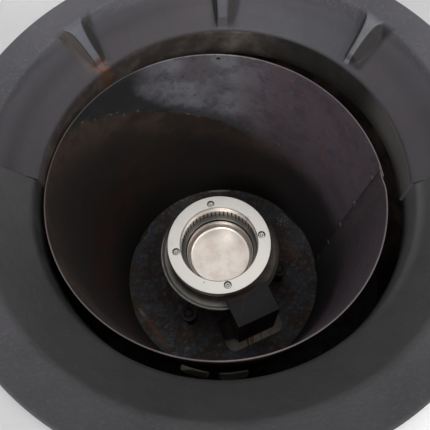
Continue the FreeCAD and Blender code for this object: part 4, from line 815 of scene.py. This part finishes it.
def make_ring():
    """The casting: its modelled upper face, then its underside and its wall, column by column."""
    joint = 0.0022
    turns = ring_turns(joint)
    rear = (turns >= joint * 0.5) & (turns <= math.pi - joint * 0.5)
    groove = (np.abs(turns) < 1e-9) | (np.abs(turns - math.pi) < 1e-9)
    lip = ring_lip(turns, rear)
    shares = np.concatenate([[0.0, 0.008, 0.018, 0.03, 0.06], np.linspace(0.1, 0.98, 58), [1.0]])
    outer, lip_round, lip_drop, groove_depth = FLANGE_R - 0.0045, 0.0022, 0.0013, 0.0018
    columns = []
    for share in shares:
        radius = lip + (outer - lip) * share
        ease = np.clip((radius - lip) / lip_round, 0, 1)
        height = ring_top(turns, radius, rear) - lip_drop * (1 - ease) ** 2 - groove * groove_depth
        columns.append((radius, height))
    underside = [
        (FLANGE_R - 0.0022, FLANGE_Z - 0.0006), (FLANGE_R - 0.0004, FLANGE_Z - 0.0028),
        (FLANGE_R, FLANGE_Z - 0.0055), (FLANGE_R, 0.8518), (FLANGE_R - 0.0012, 0.8502), (0.2312, 0.8502),
        (0.23, 0.8490), (0.23, 0.8385), (0.2, 0.8055), (0.2, 0.7785), (0.1985, 0.7762),
    ]
    columns += [(np.full_like(turns, radius), np.full_like(turns, height)) for radius, height in underside]
    wall = ((0.7762, 0.0016), (0.778, 0.0), (0.79, 0.0), (0.802, 0.0), (0.8115, 0.0))
    columns += [(lip + step, np.full_like(turns, height)) for height, step in wall]
    points = np.zeros((len(turns), len(columns), 3))
    for column, (radius, height) in enumerate(columns):
        points[:, column, 0] = RING_X + radius * np.cos(turns + RING_TURN)
        points[:, column, 1] = radius * np.sin(turns + RING_TURN)
        points[:, column, 2] = height
    mesh = shade(face_outwards(grid_mesh("wok_ring_casting", points)), 50)
    return add_piece("wok_ring_casting", mesh, "ring", "ring_iron", stands_for=("wok_ring",))


# ---------------------------------------------------------------- liner


def liner_reach(turn, level):
    """Outer radius of the liner: a cone that grows slightly oval towards its rim."""
    share = (level - FLOOR_Z) / (RIM_Z - FLOOR_Z)
    oval = OVAL * math.cos(2 * (turn - OVAL_TURN)) * share**1.5
    return LINER_FOOT_R + (LINER_RIM_R - LINER_FOOT_R) * share + oval


def make_liner():
    """One rolled sheet that laps over itself at the seam, with a small hole below its rim."""
    lap, steps, chamfer = math.radians(4), 364, 0.0003
    near_rim = [RIM_Z - 0.0015, RIM_Z - 0.0003, RIM_Z]
    levels = np.concatenate([np.linspace(FLOOR_Z, RIM_Z - 0.004, 34), near_rim])
    rows = []
    for index in range(steps + 1):
        travel = index / steps * (2 * math.pi + lap)
        turn = SEAM - lap + travel
        over = np.clip((travel - 2 * math.pi + math.radians(5)) / math.radians(5), 0, 1)
        offset = -0.00155 * over * over * (3 - 2 * over)
        ending = np.clip((travel - 2 * math.pi - lap + math.radians(3)) / math.radians(3), 0, 1)
        sheet = LINER_SHEET * (1 - 0.75 * ending)
        row = []
        for order, inset, way in ((levels, 0.0, -1), (levels[::-1], sheet, 1)):
            for level in order:
                trim = way * chamfer if level > RIM_Z - 1e-6 else 0.0
                reach = liner_reach(turn, level) + offset - inset + trim
                row.append((reach * math.cos(turn), reach * math.sin(turn), level))
        rows.append(row)
    points = np.array(rows)
    mesh = grid_mesh("liner_sheet", points, closed=False)
    work = bmesh.new()
    work.from_mesh(mesh)
    work.verts.ensure_lookup_table()
    columns = points.shape[1]
    for base in (0, steps * columns):
        for column in range(columns // 2 - 1):
            opposite = columns - 1 - column
            corners = [work.verts[base + place] for place in (column, column + 1, opposite - 1, opposite)]
            work.faces.new(corners)
    bmesh.ops.recalc_face_normals(work, faces=work.faces)
    work.to_mesh(mesh)
    work.free()
    hole_radius, hole_level, hole_turn = 0.0025, 0.798, math.radians(-8)
    outline = [(0.0001, 0.14), (hole_radius, 0.14), (hole_radius, 0.2), (0.0001, 0.2)]
    hole = lathe("liner_hole", outline, 24, (0, hole_level), "Y")
    hole.transform(Matrix.Rotation(hole_turn, 4, "Z"))
    mesh = shade(carve(mesh, hole), 40)
    return add_piece("liner_sheet", mesh, "liner", "liner_steel", stands_for=("liner",))


# ---------------------------------------------------------------- burner


def make_cup():
    """The dished centre cup on its stem, with three arms below it."""
    rim, floor, wall = 0.603, 0.587, 0.0442
    inside = [(0.0004, floor), (0.015, floor), (0.03, floor), (wall - 0.0062, floor + 0.0001)]
    inside += arc((wall - 0.0055, floor + 0.0055), 0.0055, -80, 0, 8)
    lip = [(wall, rim - 0.001)] + arc((wall + 0.001, rim - 0.001), 0.001, 170, 0, 6)
    below = arc((wall - 0.0045, floor + 0.0045), 0.0065, 0, -90, 6)
    stem = [(0.014, floor - 0.002), (0.014, 0.5562), (0.0004, 0.5562)]
    mesh = shade(lathe("burner_dish", inside + lip + below + stem, 128), 40)
    work = bmesh.new()
    work.from_mesh(mesh)
    for index in range(3):
        turn = math.radians(index * 120 + 30)
        place = Matrix.Rotation(turn, 4, "Z") @ Matrix.Translation((0.0318, 0, 0.560))
        add_block(work, place, (0.0356, 0.008, 0.0078), offset=0.001, segments=2)
    work.to_mesh(mesh)
    work.free()
    add_piece("burner_dish", shade(mesh, 40), "range", "burner_bright", "cup_steel", ("burner_cup",))


def head_tree():
    """Round heads with a hexagon socket, one for each point of the mesh."""
    tree = bpy.data.node_groups.new("socket_heads", "GeometryNodeTree")
    face = tree.interface
    face.new_socket("Geometry", in_out="INPUT", socket_type="NodeSocketGeometry")
    kinds = dict.fromkeys(("head_radius", "head_height", "socket_radius", "socket_depth"), "Float")
    kinds.update(facing="Vector", finish="Material")
    inputs = {
        name: face.new_socket(name, in_out="INPUT", socket_type="NodeSocket" + kind).identifier
        for name, kind in kinds.items()
    }
    face.new_socket("Geometry", in_out="OUTPUT", socket_type="NodeSocketGeometry")
    points = Wire(tree, None).make("NodeGroupInput", output="Geometry")
    given = {name: Wire(tree, points.socket.node.outputs[name]) for name in kinds}
    sizes = {"Vertices": 40, "Radius": given["head_radius"], "Depth": given["head_height"]}
    head = points.make("GeometryNodeMeshCylinder", inputs=sizes)
    sizes = {"Vertices": 6, "Radius": given["socket_radius"], "Depth": given["socket_depth"]}
    socket = points.make("GeometryNodeMeshCylinder", inputs=sizes)
    top = points.make("ShaderNodeCombineXYZ", inputs={"Z": given["head_height"] * 0.5})
    raised = points.make("GeometryNodeTransform", inputs={"Geometry": socket, "Translation": top})
    settings = {"operation": "DIFFERENCE", "solver": "EXACT"}
    drilled = points.make("GeometryNodeMeshBoolean", settings, {"Mesh 1": head, "Mesh 2": raised})
    along = points.make("FunctionNodeAlignRotationToVector", {"axis": "Z"}, {"Vector": given["facing"]})
    placed = {"Points": points, "Instance": drilled, "Rotation": along}
    heads = points.make("GeometryNodeInstanceOnPoints", inputs=placed)
    real = points.make("GeometryNodeRealizeInstances", inputs={0: heads})
    painted = points.make("GeometryNodeSetMaterial", inputs={"Geometry": real, "Material": given["finish"]})
    painted.end("NodeGroupOutput")
    return tree, inputs


def run_tree(name, points, tree, inputs, values):
    """The mesh that a node tree makes from a set of points."""
    mesh = bpy.data.meshes.new(name)
    mesh.from_pydata(points, [], [])
    draft = link(name, mesh)
    modifier = draft.modifiers.new("Nodes", "NODES")
    modifier.node_group = tree
    for key, value in values.items():
        modifier[inputs[key]] = value
    return finished(draft)


def make_screw_heads():
    """Cap screws in the burner's top ring, and button heads at the corners of the front and back panels."""
    tree, inputs = head_tree()
    rounding = {"width": 0.0007, "segments": 2, "angle": 40}
    values = {"head_radius": 0.00425, "head_height": 0.005, "socket_radius": 0.0019, "socket_depth": 0.005}
    values.update(facing=(0.0, 0.0, 1.0), finish=FINISHES["screw_steel"])
    points = [(x, y, 0.6335) for x, y in SCREWS]
    heads = round_edges(run_tree("burner_screw_heads", points, tree, inputs, values), **rounding)
    shank = [(0.0001, 0.601), (0.0022, 0.601), (0.0025, 0.6018), (0.0025, 0.631), (0.0001, 0.631)]
    shanks = [lathe("shank", shank, 20, place) for place in SCREWS]
    mesh = shade(join_meshes("burner_screw_heads", [shade(heads, 40)] + shanks), 40)
    add_piece("burner_screw_heads", mesh, "range", "screw_steel", stands_for=("burner_screws",))

    low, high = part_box("panel_screws")
    height, inset, column_x = 0.0025, 0.005, 0.3262
    values = {"head_radius": 0.005, "head_height": height, "socket_radius": 0.0021, "socket_depth": 0.003}
    meshes = []
    for facing, level_y in ((-1.0, low[1] + height / 2), (1.0, high[1] - height / 2)):
        levels = (low[2] + inset, high[2] - inset)
        points = [(side * column_x, level_y, level) for side in (-1, 1) for level in levels]
        values.update(facing=(0.0, facing, 0.0), finish=FINISHES["zinc_steel"])
        meshes.append(run_tree("panel_screw_heads", points, tree, inputs, values))
    mesh = shade(round_edges(join_meshes("panel_screw_heads", meshes), **rounding), 40)
    add_piece("panel_screw_heads", mesh, "range", "zinc_steel", stands_for=("panel_screws",))


# ---------------------------------------------------------------- controls and feet


def make_knob(name, centre_x, radius, body, node):
    """A knob with a rounded skirt, a raised grip bar and a pale pointer line."""
    level, back, tip, depth = 0.73, -0.3887, -0.42, 0.009
    skirt = back - depth
    outline = [(0.0042, skirt + 0.004), (0.0042, back), (radius - 0.001, back)]
    outline += [(radius, back - 0.001), (radius, back - 0.005)]
    outline += [(radius - 0.0008, back - 0.0075), (radius - 0.0035, skirt)]
    outline += [(radius * 0.74, skirt - 0.0012), (radius * 0.7, skirt - 0.004)]
    outline += [(radius * 0.62, tip + 0.003), (radius * 0.58, tip + 0.0006), (0.0002, tip + 0.0004)]
    outline += [(0.0002, skirt + 0.004)]
    base = lathe("knob_base", outline, 96, (centre_x, level), "Y")
    bar, line = bpy.data.meshes.new("knob_bar"), bpy.data.meshes.new(name + "_pointer")
    grip_size = (radius * 0.38, skirt - tip - 0.0004, radius * 1.8)
    grip_place = Matrix.Translation((centre_x, (tip + skirt) / 2, level))
    work = bmesh.new()
    add_block(work, grip_place, grip_size, offset=0.0022, segments=4, profile=0.6)
    work.to_mesh(bar)
    work.clear()
    line_place = Matrix.Translation((centre_x, tip + 0.0002, level + radius * 0.5))
    add_block(work, line_place, (0.0014, 0.0004, radius * 0.62))
    work.to_mesh(line)
    work.free()
    mesh = shade(join_meshes(name + "_grip", [base, bar]), 38)
    add_piece(name + "_grip", mesh, body, "knob_plastic", stands_for=(node,))
    add_piece(name + "_pointer", line, body, "knob_plastic", "pointer_paint")


def pointer_paint():
    """White paint, worn to grey in places."""
    f = Finish("pointer_paint")
    worn = f.noise(0.002, 3).step(0.6, 0.75)
    return f.close(f.mix(worn * 0.5, (0.8, 0.8, 0.78), (0.4, 0.4, 0.39)), 0.5, 0.0)


FINISHES["pointer_paint"] = pointer_paint()


def make_foot(corner):
    """A levelling foot: a domed pad, a neck and a threaded stud whose grooves are turned rings."""
    node = "foot_" + corner
    low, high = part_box(node)
    x, y, top = (low[0] + high[0]) / 2, (low[1] + high[1]) / 2, high[2]
    outline = [(0.0003, 0.0), (0.0212, 0.0), (0.0226, 0.0008), (0.023, 0.0022), (0.023, 0.0075)]
    outline += [(0.0222, 0.0098), (0.018, 0.0122), (0.011, 0.0139), (0.0092, 0.014)]
    outline += [(0.0092, 0.0165), (0.006, 0.0168)]
    crest, root, pitch, level = 0.006, 0.0053, 0.00175, 0.0185
    while level < top - 0.002:
        outline += [(crest, level), (root, level + pitch * 0.45), (crest, level + pitch * 0.9)]
        level += pitch
    outline += [(crest, top - 0.0012), (0.005, top), (0.0003, top)]
    mesh = shade(lathe(node + "_turned", outline, 48, (x, y)), 28)
    add_piece(node + "_turned", mesh, node, "zinc_steel", stands_for=(node,))


# ---------------------------------------------------------------- camera, floor and light


def make_view():
    """The photograph's camera, whose focal length and frame are in pixels."""
    focal, wide = 500.0, 430.0
    pitch, roll = math.radians(67.02), math.radians(-6.58)
    forward = Vector((0, math.cos(pitch), -math.sin(pitch)))
    right = Vector((1, 0, 0))
    up = right.cross(forward)
    turned_right = math.cos(roll) * right + math.sin(roll) * up
    turned_up = -math.sin(roll) * right + math.cos(roll) * up
    data = bpy.data.cameras.new("camera")
    data.sensor_width = 36
    data.lens = focal / wide * 36
    data.clip_start = 0.01
    camera = link("camera", data)
    turn = Matrix((turned_right, turned_up, -forward)).transposed().to_4x4()
    camera.matrix_world = Matrix.Translation((-0.00093, -0.2227, 1.2589)) @ turn
    bpy.context.scene.camera = camera


def add_light(name, size, power, place, target):
    """A square lamp that shines from its place to its target."""
    data = bpy.data.lights.new(name, "AREA")
    data.shape = "SQUARE"
    data.size = size
    data.energy = power
    aim = Vector(target) - Vector(place)
    turn = aim.to_track_quat("-Z", "Y").to_matrix().to_4x4()
    link(name, data).matrix_world = Matrix.Translation(place) @ turn


def make_studio():
    """A pale floor, a white surround that metal also reflects, and two soft lamps."""
    mesh = bpy.data.meshes.new("studio_floor")
    reach = 4.0
    corners = [(-reach, -reach, 0), (reach, -reach, 0), (reach, reach, 0), (-reach, reach, 0)]
    mesh.from_pydata(corners, [], [(0, 1, 2, 3)])
    mesh.materials.append(Finish("studio_floor").close((0.82, 0.82, 0.82, 1), 0.8, 0.0))
    link("studio_floor", mesh)
    world = bpy.data.worlds.new("studio")
    bpy.context.scene.world = world
    world.use_nodes = True
    world.node_tree.nodes.clear()
    path = Wire(world.node_tree, None).make("ShaderNodeLightPath", output="Is Camera Ray")
    glossy = Wire(world.node_tree, path.socket.node.outputs["Is Glossy Ray"])
    strength = (path + glossy).limit() * 0.45 + 0.5
    sockets = {"Color": (1, 1, 1, 1), "Strength": strength}
    path.make("ShaderNodeBackground", inputs=sockets).end("ShaderNodeOutputWorld")
    add_light("high_front", 0.8, 25, (-0.7, -1.5, 2.7), (0, 0, 0.6))
    add_light("right", 1.2, 12, (1.3, -0.3, 2.6), (0, 0, 0.8))
    bpy.context.scene.view_settings.view_transform = "Standard"


make_view()
make_studio()
make_ring()
make_liner()
make_cup()
make_screw_heads()
make_knob("gas_knob", 0.12, 0.028, "gas_control", "gas_knob")
make_knob("pilot_knob", 0.042, 0.020, "pilot_control", "pilot_knob")
corners = ("front_left", "front_right", "back_left", "back_right")
for corner in corners:
    make_foot(corner)
for node, width in (
    ("worktop", 0.0018), ("splashback", 0.0018), ("tray_handle", 0.0006), ("pilot_shield", 0.0006),
    ("burner_body", 0.0009), ("injector_block", 0.0012), ("gas_valve", 0.001), ("pilot_valve", 0.001),
):
    rounded(node, width)
for corner in corners:
    rounded("leg_" + corner, 0.0018)
rounded("burner_bolts", 0.0008, "burner_iron")
